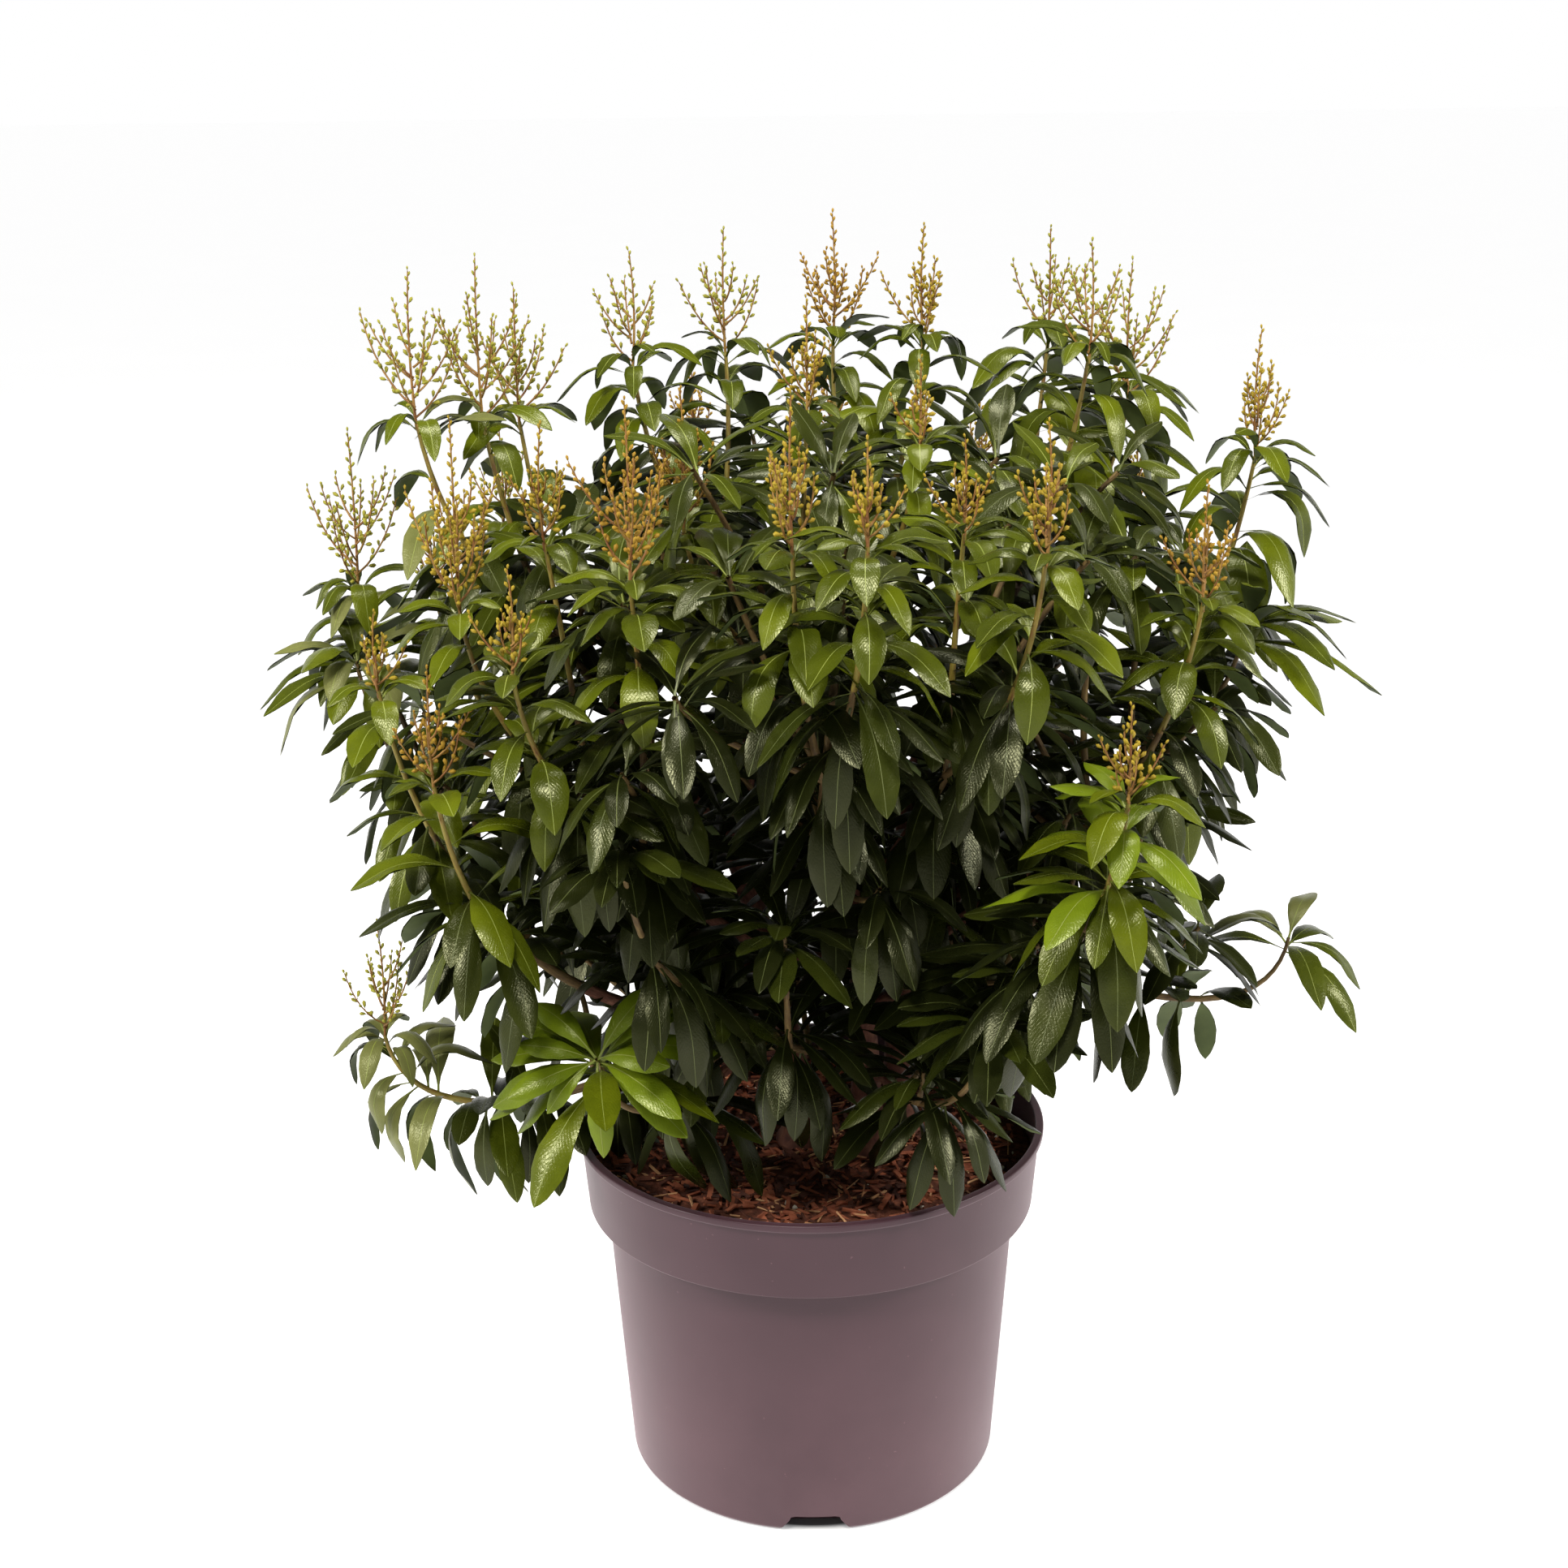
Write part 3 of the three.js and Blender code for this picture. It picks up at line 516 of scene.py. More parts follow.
def half_width(leaf):
    """Half the blade's width at each row of points."""
    t = np.clip((LEAF_ROWS - PETIOLE.end) / (1 - PETIOLE.end), 0, 1)
    base, tip = leaf.form.base, leaf.form.tip
    widest = base / (base + tip)
    blade = t ** base * (1 - t) ** tip / (widest ** base * (1 - widest) ** tip)
    half = np.maximum(blade * leaf.width * leaf.length / 2, PETIOLE.half)
    half[-1] = LEAF_SHAPE.point
    return half


TOOTH = np.where(LEAF_ROWS > LEAF_SHAPE.toothed, (-1.0) ** np.arange(len(LEAF_ROWS)), 0)[:, None]
LEAF_ACROSS = LEAF_COLUMNS * np.where(np.abs(LEAF_COLUMNS) == 1, 1 + LEAF_SHAPE.teeth * TOOTH, 1)


def leaf_surface(place, leaf):
    """The blade: its points in rows from root to tip, its rib, and the way that it faces."""
    point, heading = place
    out = turned(unit(cross(guide_for(heading), heading)), heading, leaf.turn)
    aim = out * cos(leaf.rise) + heading * sin(leaf.rise)
    level = cross(mix(UP, heading, leaf.form.faces), aim)
    flat = unit(level if size_of(level) > 0.4 else cross(heading, out))
    droop = leaf.bend * smooth((LEAF_ROWS - LEAF_SHAPE.bend_from) / LEAF_SHAPE.bend_over)
    along = aim * np.cos(droop)[:, None] + cross(flat, aim) * np.sin(droop)[:, None]
    runs = np.diff(LEAF_ROWS, prepend=0)[:, None] * leaf.length * along
    sickle = LEAF_SHAPE.sickle * leaf.sway * leaf.length * LEAF_ROWS[:, None] ** 2
    rib = point + aim + np.cumsum(runs, axis=0) + flat * sickle
    face = np.cross(along, flat)
    twist = LEAF_SHAPE.twist * leaf.twist * LEAF_ROWS[:, None] ** 1.5
    flat, face = flat * np.cos(twist) + face * np.sin(twist), face * np.cos(twist) - flat * np.sin(twist)
    half = half_width(leaf)[:, None]
    cup = LEAF_SHAPE.cup * leaf.cup * np.abs(LEAF_COLUMNS) - LEAF_SHAPE.roll * LEAF_COLUMNS ** 2
    wave = LEAF_SHAPE.wave * np.sin(LEAF_ROWS * LEAF_SHAPE.waves + leaf.turn)[:, None] * LEAF_COLUMNS ** 2
    rise = half * (cup + wave * np.sign(LEAF_COLUMNS))
    blade = rib[:, None] + flat[:, None] * (half * LEAF_ACROSS)[..., None] + face[:, None] * rise[..., None]
    return blade, rib, face


BOX_ROOM = 6  # how far a leaf may stand outside the solids' box
BOX_LOW = np.array(CAD_BOX[0]) / MM - BOX_ROOM
BOX_HIGH = np.array(CAD_BOX[1]) / MM + BOX_ROOM
CELL = 4.2
CLEARANCE = Values(rim=1, wall=3, soil=3)  # round the pot's rim, inside its wall and above the soil


def clear_of_pot(points):
    """True if no point lies in the pot's rim or wall, or in the soil."""
    radius = np.hypot(points[:, 0], points[:, 1])
    within = radius < POT.lip + CLEARANCE.rim
    low = points[:, 2] < POT.height + CLEARANCE.rim
    in_rim = low & within & (radius > POT.collar - POT.wall - CLEARANCE.wall)
    in_soil = within & (points[:, 2] < SOIL.top + CLEARANCE.soil)
    return not (in_rim | in_soil).any()


def in_clearing(points):
    """True if a point lies in one of the gaps that stay open round the low branches."""
    return any((((points - vec(*gap[:3])) ** 2).sum(axis=1) < gap[3] ** 2).any() for gap in CLEARINGS)


def cells(points):
    """The small cells of space that hold some points."""
    keys = np.floor(points / CELL).astype(np.int64) + 1000
    return (keys[:, 0] << 24 | keys[:, 1] << 12 | keys[:, 2]).tolist()


# ---- Single buds, and the relief of bark ----

def bud_template():
    """A closed drop, thicker towards its tip, along +Z from the origin."""
    n, points = BUD.sides, [vec(0, 0, 0)]
    for at, share in ((0.34, 0.78), (0.72, 1)):
        radius = BUD.radius * share
        points += [vec(radius * cos(a), radius * sin(a), BUD.length * at) for a in circle(n)]
    points.append(vec(0, 0, BUD.length))
    around = np.arange(n)
    after = (around + 1) % n
    low = np.stack([np.zeros(n, int), 1 + after, 1 + around], axis=1)
    high = np.stack([np.full(n, 1 + 2 * n), 1 + n + around, 1 + n + after], axis=1)
    middle = np.stack([1 + around, 1 + after, 1 + n + after, 1 + n + around], axis=1)
    return np.array(points), [low, high, middle]


BUD_POINTS, BUD_FACES = bud_template()


def bark_relief(depth, ridges):
    """Shallow ridges that run along a limb and wander round it, and slow swellings."""
    def relief(run, turn):
        ridge = np.sin(ridges * turn + 0.05 * run + 1.3 * np.sin(0.11 * run))
        fine = np.sin((2 * ridges + 1) * turn - 0.17 * run)
        swell = np.sin(0.21 * run + 2 * np.sin(turn))
        return 1 + depth * (0.5 * ridge + 0.25 * fine + 0.4 * swell)
    return relief


# ---- The plant ----

def young_form(mass, shoot):
    """The form of a shoot's uppermost leaves."""
    if mass.name in AIRY_MASSES + BACKLIT_PALE_MASSES:
        return "arched"
    if shoot.panicle:
        return "new"
    return "rosette" if mass.name in BRIGHT_MASSES else "old"


def reach_at(level, turn):
    """How far out a level's whorls sit in one direction."""
    _, left, right, front, back = level
    across = right if cos(turn) > 0 else left
    deep = back if sin(turn) > 0 else front
    return 1 / hypot(cos(turn) / across, sin(turn) / deep)


class Plant:
    """Everything that grows, gathered by kind, and the space that it takes up."""

    def __init__(self):
        self.draw = seeded(MORE_SEED)
        self.taken = set()
        self.blades = {tone: [Heap()] for tone in LEAF_TONES}
        self.heaps = defaultdict(Heap)

    def one_of(self, choices):
        return choices[int(self.draw() * len(choices))]

    def vary(self, least, more):
        """A number between the least one and so much more."""
        return least + more * self.draw()

    def has_room(self, points, keep_open):
        inside = (points > BOX_LOW).all() and (points < BOX_HIGH).all()
        if not inside or (keep_open and in_clearing(points)):
            return False
        return clear_of_pot(points) and self.taken.isdisjoint(cells(points))

    def take(self, points):
        self.taken.update(cells(points))

    # -- leaves --

    def add_leaf(self, blade, rib, face, tone):
        """The blade, a paler back just under it and its midrib just above it."""
        heaps = self.blades[tone]
        if heaps[-1].parts >= PIECE_LIMIT:
            heaps.append(Heap())
        heaps[-1].add_grid(blade, LEAF_PLACES)
        back = blade[2::2, ::2][:, ::-1] - face[2::2, None] * BACK.below
        middle = back[:, 1:2]
        self.heaps["leaf_backs"].add_grid(middle + (back - middle) * BACK.width, LEAF_PLACES[2::2, ::2])
        half = np.interp(LEAF_ROWS, (0, RIB.neck_at, 1), (RIB.foot, RIB.neck, RIB.tip))
        flat = blade[:, -1] - blade[:, 0]
        flat = flat / np.linalg.norm(flat, axis=1, keepdims=True) * half[:, None]
        line = rib + face * RIB.above
        ribs = self.heaps["old_leaf_ribs" if tone in DARK else "new_leaf_ribs"]
        ribs.add_grid(np.stack([line - flat, line + flat], axis=1), LEAF_PLACES[:, :2])

    def fit_leaf(self, place, leaf, tone, turns=LEAF_TURNS, sizes=LEAF_SIZES, keep_open=False):
        """Adds the leaf in the first way that has room."""
        length, turn = leaf.length, leaf.turn
        for size in sizes:
            for aside in turns:
                leaf.length, leaf.turn = length * size, turn + aside
                blade, rib, face = leaf_surface(place, leaf)
                samples = blade[FREE_FROM:].reshape(-1, 3)
                if self.has_room(samples, keep_open):
                    self.take(samples)
                    self.add_leaf(blade, rib, face, tone)
                    return

    def grow_row(self, path, row, tones, form, size=1, draw=None, **ways):
        """Leaves of a row on a path, each with room of its own and in one of the tones."""
        for leaf in deal_row(row, draw or self.draw):
            place = place_on(path, leaf.down)
            if place is None:
                continue
            leaf.form = kind = LEAF_FORMS[form]
            leaf.length = min(leaf.length * kind.shorter, kind.longest * self.vary(0.85, 0.15)) * size
            leaf.rise += radians(kind.lift)
            leaf.bend *= kind.bend
            leaf.sway, leaf.twist = self.draw() * 2 - 1, self.draw() * 2 - 1
            leaf.cup = self.vary(0.4, 1.1)
            leaf.width = kind.width * self.vary(0.9, 0.2)
            self.fit_leaf(place, leaf, self.one_of(tones), **ways)

    def tones_for(self, mass):
        """The tones of a mass: its new leaves, its old whorls, and its lowest whorl."""
        if mass.name in BRIGHT_MASSES:
            return ("bright", "bright", "fresh"), DARK, DARK
        # The pale tone here and on the paler tops is painted backlight.
        if mass.name in BACKLIT_PALE_MASSES:
            return ("pale", "pale", "mid"), ("mid", "deep"), DARK
        # Dark tones here are painted shade.
        if mass.name in SHADED_MASSES:
            return DARK, OLD, OLD
        if mass.name in AIRY_MASSES:
            return ("mid", "pale" if mass.name in BACKLIT_PALER_TOPS else "mid", "fresh"), ("mid", "deep"), DARK
        # Fresher tones here are painted light.
        if mass.name in SUNNY_MASSES:
            return ("fresh", "fresh", "mid"), ("mid", "deep"), DARK
        return self.one_of((("fresh", "mid"), ("mid",), ("fresh", "mid", "mid"))), DARK, OLD

    # -- flower heads --

    def grow_raceme(self, path, tone, radius, bare):
        """A stalk with buds all round it, closer and smaller towards its end."""
        stalks = self.heaps["bud_stalks"]
        stalks.add_tube(path, np.linspace(radius, RACEME.tip, len(path)), RACEME.sides)
        total = runs_of(path).sum()
        down, turn = 0.0, self.draw() * 2 * pi
        while down < total * (1 - bare):
            point, heading = place_on(path, down)
            near_tip = 1 - down / total
            size = mix(*BUD.sizes, near_tip ** 2) * self.vary(0.85, 0.3)
            across = frame_along(heading)
            out = across[:, 0] * cos(turn) + across[:, 1] * sin(turn)
            aim = unit(out * mix(1.0, 0.25, near_tip ** 3) + heading * 0.75 + UP * 0.1)
            end = point + aim * (BUD.stalk * size * self.vary(0.7, 0.5))
            stalks.add_tube([point, end], [BUD.stalk_radius] * 2, 3)
            nod = unit(aim + heading * 0.2)
            self.heaps[f"buds_{tone}"].add(end + (BUD_POINTS * size) @ frame_along(nod).T, BUD_FACES)
            turn += GOLDEN_ANGLE
            down += PANICLES[tone].spacing * self.vary(0.75, 0.5)

    def grow_side_raceme(self, shoot, turn, share, at, rise, tone):
        """One side raceme: it leaves at a slant and curves up."""
        length = shoot.panicle * share
        start = mix(shoot.path[-1], shoot.tip, at)
        end = start + unit(vec(cos(turn), sin(turn), rise)) * length + UP * (RACEME.curve * length)
        end[2] = min(end[2], shoot.tip[2] + 2)
        pull = start + unit(vec(cos(turn), sin(turn), RACEME.slant)) * length * RACEME.pull
        path = bend(start, pull, end, 6)
        self.take(path[2:])
        self.grow_raceme(path, tone, RACEME.foot, RACEME.bare)

    def grow_panicle(self, shoot, draw, tone):
        """A central raceme, the side racemes of the solids' spikes, and more between them."""
        foot, tip, head = shoot.path[-1], shoot.tip, PANICLES[tone]
        lean = vec(self.draw() - 0.5, self.draw() - 0.5, 0) * LEADER.sway
        middle = bend(foot - unit(tip - foot) * LEADER.below, mix(foot, tip, 0.5) + lean, tip, 10)
        self.grow_raceme(middle, tone, RACEME.foot * LEADER.thicker, LEADER.bare)
        first = draw() * 2 * pi
        spikes = int(shoot.panicle / SPIKE.each + 0.5)
        for k in range(spikes):
            share = (SPIKE.length + SPIKE.varies * draw()) * (1 - SPIKE.shrink * k / spikes)
            at = SPIKE.lowest + SPIKE.spread * k / spikes
            self.grow_side_raceme(shoot, first + k * GOLDEN_ANGLE, share, at, SPIKE.rise, tone)
        more = ceil(shoot.panicle / head.each)
        for k in range(more):
            t = k / more
            share = head.length * (1 - 0.5 * t) * self.vary(0.75, 0.5)
            turn = first + pi / 3 + (k + 0.5) * GOLDEN_ANGLE
            self.grow_side_raceme(shoot, turn, share, mix(0.03, 0.5, t), head.rise, tone)

    # -- wood --

    def grow_stem(self, stem):
        path = bend(*stem.ends, 60)
        height = path[:, 2] - path[0][2]
        radii = np.linspace(STEM.neck, STEM.tip, len(path)) * STEM.slimmer
        radii += (STEM.foot - STEM.neck) * (1 - smooth(height / (STEM.flare * STEM.root))) ** 2
        self.heaps["limbs"].add_tube(path, radii, SIDES.stem, bark_relief(BARK_DEPTH.limb, 5))
        self.take(path)

    def grow_limb(self, kind, path, first, last, sides, depth):
        radii = np.linspace(first, last, len(path))
        self.heaps[kind].add_tube(path, radii, sides, bark_relief(depth, 3))
        self.take(path[1:-1])

    def grow_shoot(self, path, first, green):
        """A shoot: thin brown bark, then the year's stem up to its head, green under a panicle."""
        to_head = np.append(np.cumsum(runs_of(path)[::-1])[::-1], 0)
        at = max(1, int(np.argmax(to_head < TWIG.green)))
        radius = np.linspace(first, TWIG.tip, len(path))[at]
        upper = "green_shoots" if green else "twigs"
        self.grow_limb("twigs", path[:at + 1], first, radius, SIDES.shoot, BARK_DEPTH.twig)
        self.grow_limb(upper, path[at:], radius, TWIG.tip, SIDES.shoot, BARK_DEPTH.green)

    # -- masses, and what fills the space between them --

    def grow_facing_rosette(self, mass, shoot):
        """A short twig that turns the end of a shoot aside, and the rosette that it bears."""
        end, heading = shoot.path[-1], unit(shoot.path[-1] - shoot.path[-2])
        towards = unit(vec(*FACING[mass.name]))
        path = bend(end - heading * FACING_TWIG.back, end, end + towards * FACING_TWIG.out, 6)
        self.grow_limb("green_shoots", path, *FACING_TWIG.radius, SIDES.aside, BARK_DEPTH.green)
        self.grow_row(path, ROSETTE, ("bright",), "rosette", turns=SIDE_TURNS)

    def grow_mass(self, mass):
        """One mass: its wood, its flower heads, then its leaves in the order of the solids."""
        draw = seeded(FIRST_SEED * (mass.index + 1))
        own = dict(size=mass.leaf, draw=draw)
        leader, *others = mass.shoots
        self.grow_shoot(np.concatenate([mass.stalk, leader.path[1:]]), TWIG.base, leader.panicle)
        for shoot in others:
            self.grow_shoot(shoot.path, TWIG.fork, shoot.panicle)
        for shoot in mass.shoots:
            if shoot.panicle:
                tone = "green" if mass.name in GREEN_BUDS else self.one_of(("gold", "ochre", "gold"))
                self.grow_panicle(shoot, draw, tone)
        for shoot in mass.shoots:
            new, old, _ = self.tones_for(mass)
            if mass.name in FACING:
                self.grow_facing_rosette(mass, shoot)
            first = NEW_LEAVES if shoot.panicle else TOP_LEAVES
            self.grow_row(shoot.path, first, new, young_form(mass, shoot), **own)
            if mass.name in SKIRTED:
                self.grow_row(shoot.path, SKIRT, ("mid", "deep"), "old", turns=SIDE_TURNS)
            self.grow_row(shoot.path, OLD_LEAVES, old, "old", **own)
        _, _, low = self.tones_for(mass)
        self.grow_row(mass.stalk, FORK_LEAVES, low, "old", **own)

    def grow_more(self, mass):
        """The leaves between those of the solids."""
        ways = dict(size=mass.leaf, turns=SIDE_TURNS, sizes=SIDE_SIZES)
        ways["keep_open"] = mass.name not in BRIGHT_MASSES
        for shoot in mass.shoots:
            new, old, _ = self.tones_for(mass)
            if shoot.panicle:
                rows = [COLLAR_LEAVES] if mass.name in OPEN_MASSES else [COLLAR_LEAVES, MORE_NEW]
            else:
                rows = [] if mass.name in SPARSE_MASSES else [MORE_TOP]
            for row in rows:
                self.grow_row(shoot.path, row, new, young_form(mass, shoot), **ways)
            self.grow_row(shoot.path, MORE_OLD, old, "old", **ways)
            self.grow_row(shoot.path, THIRD_LEAVES, OLD, "old", **ways)
        _, _, low = self.tones_for(mass)
        self.grow_row(mass.stalk, MORE_FORK, low, "old", **ways)

    def grow_branch(self, mass, bough):
        """Older whorls further down a mass's branch, on the part of it that lies outside the middle."""
        path = np.concatenate([bough, mass.stalk[1:], mass.shoots[0].path[1:]])
        down = BRANCH.first
        while place_on(path, down + BRANCH_LEAVES.far):
            point, _ = place_on(path, down)
            if hypot(point[0], point[1]) > BRANCH.inner:
                row = BRANCH_LEAVES._replace(near=down, far=down + BRANCH_LEAVES.far)
                self.grow_row(path, row, OLD, "old", size=mass.leaf, turns=SIDE_TURNS, sizes=SIDE_SIZES,
                              keep_open=True)
            down += BRANCH.apart * self.vary(0.9, 0.2)

    def fill_places(self):
        """Centres for whorls between the boughs: the ones that show, then evenly round each level."""
        yield from (vec(*centre) for centre in OWN_WHORLS)
        for number, level in enumerate(FILL_LEVELS):
            for ring in FILL.rings:
                mean = ring * sum(level[1:]) / 4
                count = max(3, round(2 * pi * mean / FILL.apart))
                for k in range(count):
                    turn = 2 * pi * (k + 0.5 * (number % 2)) / count + (self.draw() - 0.5) * 0.2
                    reach = ring * reach_at(level, turn) + (self.draw() - 0.5) * FILL.jitter
                    height = level[0] + (self.draw() - 0.5) * 2 * FILL.jitter
                    yield vec(reach * cos(turn), reach * sin(turn), height)

    def grow_fill(self, masses, boughs):
        """Side twigs with whorls of older leaves, wherever no other whorl is near."""
        shoots = [shoot for mass in masses for shoot in mass.shoots]
        places = [place_on(shoot.path, down) for shoot in shoots for down in FILL.whorls]
        nodes = [place[0] for place in places if place] + [mass.stalk[-1] for mass in masses]
        starts = np.concatenate([*boughs, *[mass.stalk for mass in masses]])
        for centre in self.fill_places():
            below = starts[starts[:, 2] < centre[2] - FILL.climb]
            if min(size_of(centre - node) for node in nodes) < FILL.clear or not len(below):
                continue
            start = below[np.argmin(np.linalg.norm(below - centre, axis=1))]
            outward = unit(vec(centre[0], centre[1], 0) + 1e-6)
            pull = centre - (UP * FILL.up + outward * FILL.out) * (FILL.pull * size_of(centre - start))
            path = bend(start, pull, centre, 9)
            self.grow_limb("twigs", path, *FILL.radius, SIDES.twig, BARK_DEPTH.twig)
            nodes.append(centre)
            # Paler tones high up are painted light, and darker ones low down are painted shade.
            sunny = centre[2] > (SUNNY.from_left if centre[0] < SUNNY.left_of else SUNNY.from_right)
            tones = ("mid", "deep", "deep") if sunny else ("old", "old", "deep")
            self.grow_row(path, TWIG_LEAVES, tones, "old", turns=SIDE_TURNS, sizes=FILL.sizes, keep_open=True)


def grow_plant():
    plant = Plant()
    stems = [Stem(**row) for row in STEMS]
    masses = [Mass(index, *row) for index, row in enumerate(MASSES)]
    boughs = [bough_line(mass, masses, stems) for mass in masses]
    for stem in stems:
        plant.grow_stem(stem)
    for path in boughs:
        plant.grow_limb("limbs", path, BOUGH.start, BOUGH.tip, SIDES.bough, BARK_DEPTH.limb)
    for mass in masses:
        plant.grow_mass(mass)
    for mass in sorted(masses, key=lambda m: m.name not in BRIGHT_MASSES):
        plant.grow_more(mass)
    for mass, bough in zip(masses, boughs):
        plant.grow_branch(mass, bough)
    plant.grow_fill(masses, boughs)
    return plant


# ---- Materials ----

class Finish:
    """A procedural material that is put together node by node."""

    def __init__(self, name, roughness, specular, **more):
        self.material = bpy.data.materials.new(name)
        self.material.use_nodes = True
        self.tree = self.material.node_tree
        self.shader = self.tree.nodes["Principled BSDF"]
        self.normal = None
        for key, value in dict(Roughness=roughness, Specular_IOR_Level=specular, **more).items():
            self.shader.inputs[key.replace("_", " ")].default_value = value

    def node(self, kind, inputs=None, **settings):
        node = self.tree.nodes.new(kind)
        for key, value in settings.items():
            setattr(node, key, value)
        for key, value in (inputs or {}).items():
            if isinstance(value, bpy.types.NodeSocket):
                self.tree.links.new(value, node.inputs[key])
            else:
                node.inputs[key].default_value = value
        return node

    def place(self, kind="Object"):
        return self.node("ShaderNodeTexCoord").outputs[kind]

    def noise(self, scale, detail=3.0, roughness=0.55, place=None):
        place = self.place() if place is None else place
        inputs = {"Vector": place, "Scale": scale, "Detail": detail, "Roughness": roughness}
        return self.node("ShaderNodeTexNoise", inputs).outputs["Fac"]

    def math(self, operation, a, b=0.0):
        return self.node("ShaderNodeMath", {0: a, 1: b}, operation=operation).outputs[0]

    def span(self, value, span, to):
        """A value that runs over `to` while another runs over `span`."""
        inputs = {"Value": value, "From Min": span[0], "From Max": span[1], "To Min": to[0], "To Max": to[1]}
        return self.node("ShaderNodeMapRange", inputs).outputs["Result"]

    def ramp(self, value, colours, at):
        """Linear colours on a ramp, each at its place."""
        node = self.node("ShaderNodeValToRGB", {"Fac": value})
        elements = node.color_ramp.elements
        while len(elements) < len(colours):
            elements.new(0.5)
        for element, position, colour in zip(elements, at, colours):
            element.position, element.color = position, (*colour, 1)
        return node.outputs["Color"]

    def link(self, value, socket):
        self.tree.links.new(value, self.shader.inputs[socket])

    def bump(self, height, distance, strength=1.0):
        inputs = {"Height": height, "Distance": distance, "Strength": strength}
        if self.normal is not None:
            inputs["Normal"] = self.normal
        self.normal = self.node("ShaderNodeBump", inputs).outputs["Normal"]
        self.link(self.normal, "Normal")


def leaf_finish(name, light, dark, roughness, specular):
    """A leathery leaf: a mottled green, veins and a network pressed in, and a waxy gloss."""
    finish = Finish(name, roughness, specular, Specular_Tint=(0.98, 1.0, 0.60, 1))
    mottle = finish.noise(55.0, 4.0)
    finish.link(finish.ramp(mottle, (dark, light), (0.32, 0.68)), "Base Color")
    split = finish.node("ShaderNodeSeparateXYZ", {"Vector": finish.place("UV")})
    aside = finish.math("ABSOLUTE", finish.math("SUBTRACT", split.outputs["X"], 0.5))
    phase = finish.math("SUBTRACT", finish.math("MULTIPLY", split.outputs["Y"], VEINS.along),
                        finish.math("MULTIPLY", aside, VEINS.slant))
    veins = finish.math("POWER", finish.math("ABSOLUTE", finish.math("SINE", phase)), VEINS.sharpness)
    finish.bump(veins, 0.00009, 0.5)
    cells_of = {"Vector": finish.place(), "Scale": 430.0, "Randomness": 1.0}
    network = finish.node("ShaderNodeTexVoronoi", cells_of, feature="DISTANCE_TO_EDGE").outputs["Distance"]
    finish.bump(finish.math("MINIMUM", network, 0.2), 0.0003, 0.6)
    finish.bump(finish.noise(300.0), 0.0002, 0.4)
    finish.link(finish.span(mottle, (0, 1), (roughness - 0.05, roughness + 0.07)), "Roughness")
    return finish.material


def plain_finish(name, colours, roughness, scale, at=(0.3, 0.7), grain_scale=700.0, grain=0.0001,
                 specular=0.4):
    """A mottled colour with a fine grain."""
    finish = Finish(name, roughness, specular)
    finish.link(finish.ramp(finish.noise(scale, 4.0), colours, at), "Base Color")
    finish.bump(finish.noise(grain_scale, 4.0), grain, 0.7)
    return finish.material


def bark_finish(name, colours, at, roughness):
    """Fibres along the limb, in the places of its tube: turns across, millimetres along."""
    finish = Finish(name, roughness, 0.3)
    stretched = finish.node("ShaderNodeMapping", {"Vector": finish.place("UV"), "Scale": (9.0, 0.09, 1.0)})
    fibres = finish.noise(1.0, 6.0, 0.65, stretched.outputs["Vector"])
    patches = finish.noise(70.0, 4.0)
    shade = finish.math("ADD", finish.math("MULTIPLY", fibres, 0.6), finish.math("MULTIPLY", patches, 0.4))
    finish.link(finish.ramp(shade, colours, at), "Base Color")
    finish.bump(fibres, 0.0008, 0.8)
    finish.bump(finish.noise(900.0), 0.00015, 0.6)
    return finish.material


def pot_finish():
    """Moulded plastic: satin, with a fine bump, slow unevenness and a paler foot, partly a little dust low
    down and partly painted shade that leaves the collar darker.
    """
    finish = Finish("moulded_plastic", 0.42, 0.35, Sheen_Weight=0.26, Sheen_Roughness=0.42,
                    Sheen_Tint=(1.0, 0.68, 0.76, 1))
    slow = finish.noise(9.0)
    plastic = finish.ramp(slow, ((0.036, 0.0134, 0.0192), (0.044, 0.0164, 0.0235)), (0.3, 0.7))
    height = finish.node("ShaderNodeSeparateXYZ", {"Vector": finish.place()}).outputs["Z"]
    # Paler towards the foot: partly dust, partly painted shade, so that the collar stays darker as if the
    # foliage shaded it.
    dust_and_shade = finish.math("MULTIPLY", finish.span(height, (0.19, 0.02), (0, 1)), finish.noise(14.0, 5.0))
    specks = finish.math("GREATER_THAN", finish.noise(330.0, 1.0), 0.79)
    dust_shade_and_specks = finish.math("ADD", finish.math("MULTIPLY", dust_and_shade, 0.24), finish.math("MULTIPLY", specks, 0.2))
    # The pale dust colour over the plastic, laid on by the mask of dust, painted shade and specks.
    over = {0: dust_shade_and_specks, 6: plastic, 7: (0.28, 0.155, 0.175, 1)}
    finish.link(finish.node("ShaderNodeMix", over, data_type="RGBA").outputs[2], "Base Color")
    finish.bump(finish.noise(1400.0, 2.0), 0.00005, 0.5)
    finish.bump(slow, 0.0012, 0.25)
    finish.link(finish.span(finish.noise(26.0, 4.0), (0, 1), (0.38, 0.47)), "Roughness")
    return finish.material


# ---- Pot and soil ----

def rounded(corners, radius, steps=4):
    """A profile with each inner corner replaced by a small arc."""
    points = [corners[0]]
    for before, corner, after in zip(corners, corners[1:], corners[2:]):
        a, b, c = vec(*before), vec(*corner), vec(*after)
        reach = min(radius, size_of(b - a) * 0.45, size_of(c - b) * 0.45)
        start, end = b + (a - b) / size_of(a - b) * reach, b + (c - b) / size_of(c - b) * reach
        points += [tuple(p) for p in bend(start, b, end, steps)]
    return points + [corners[-1]]


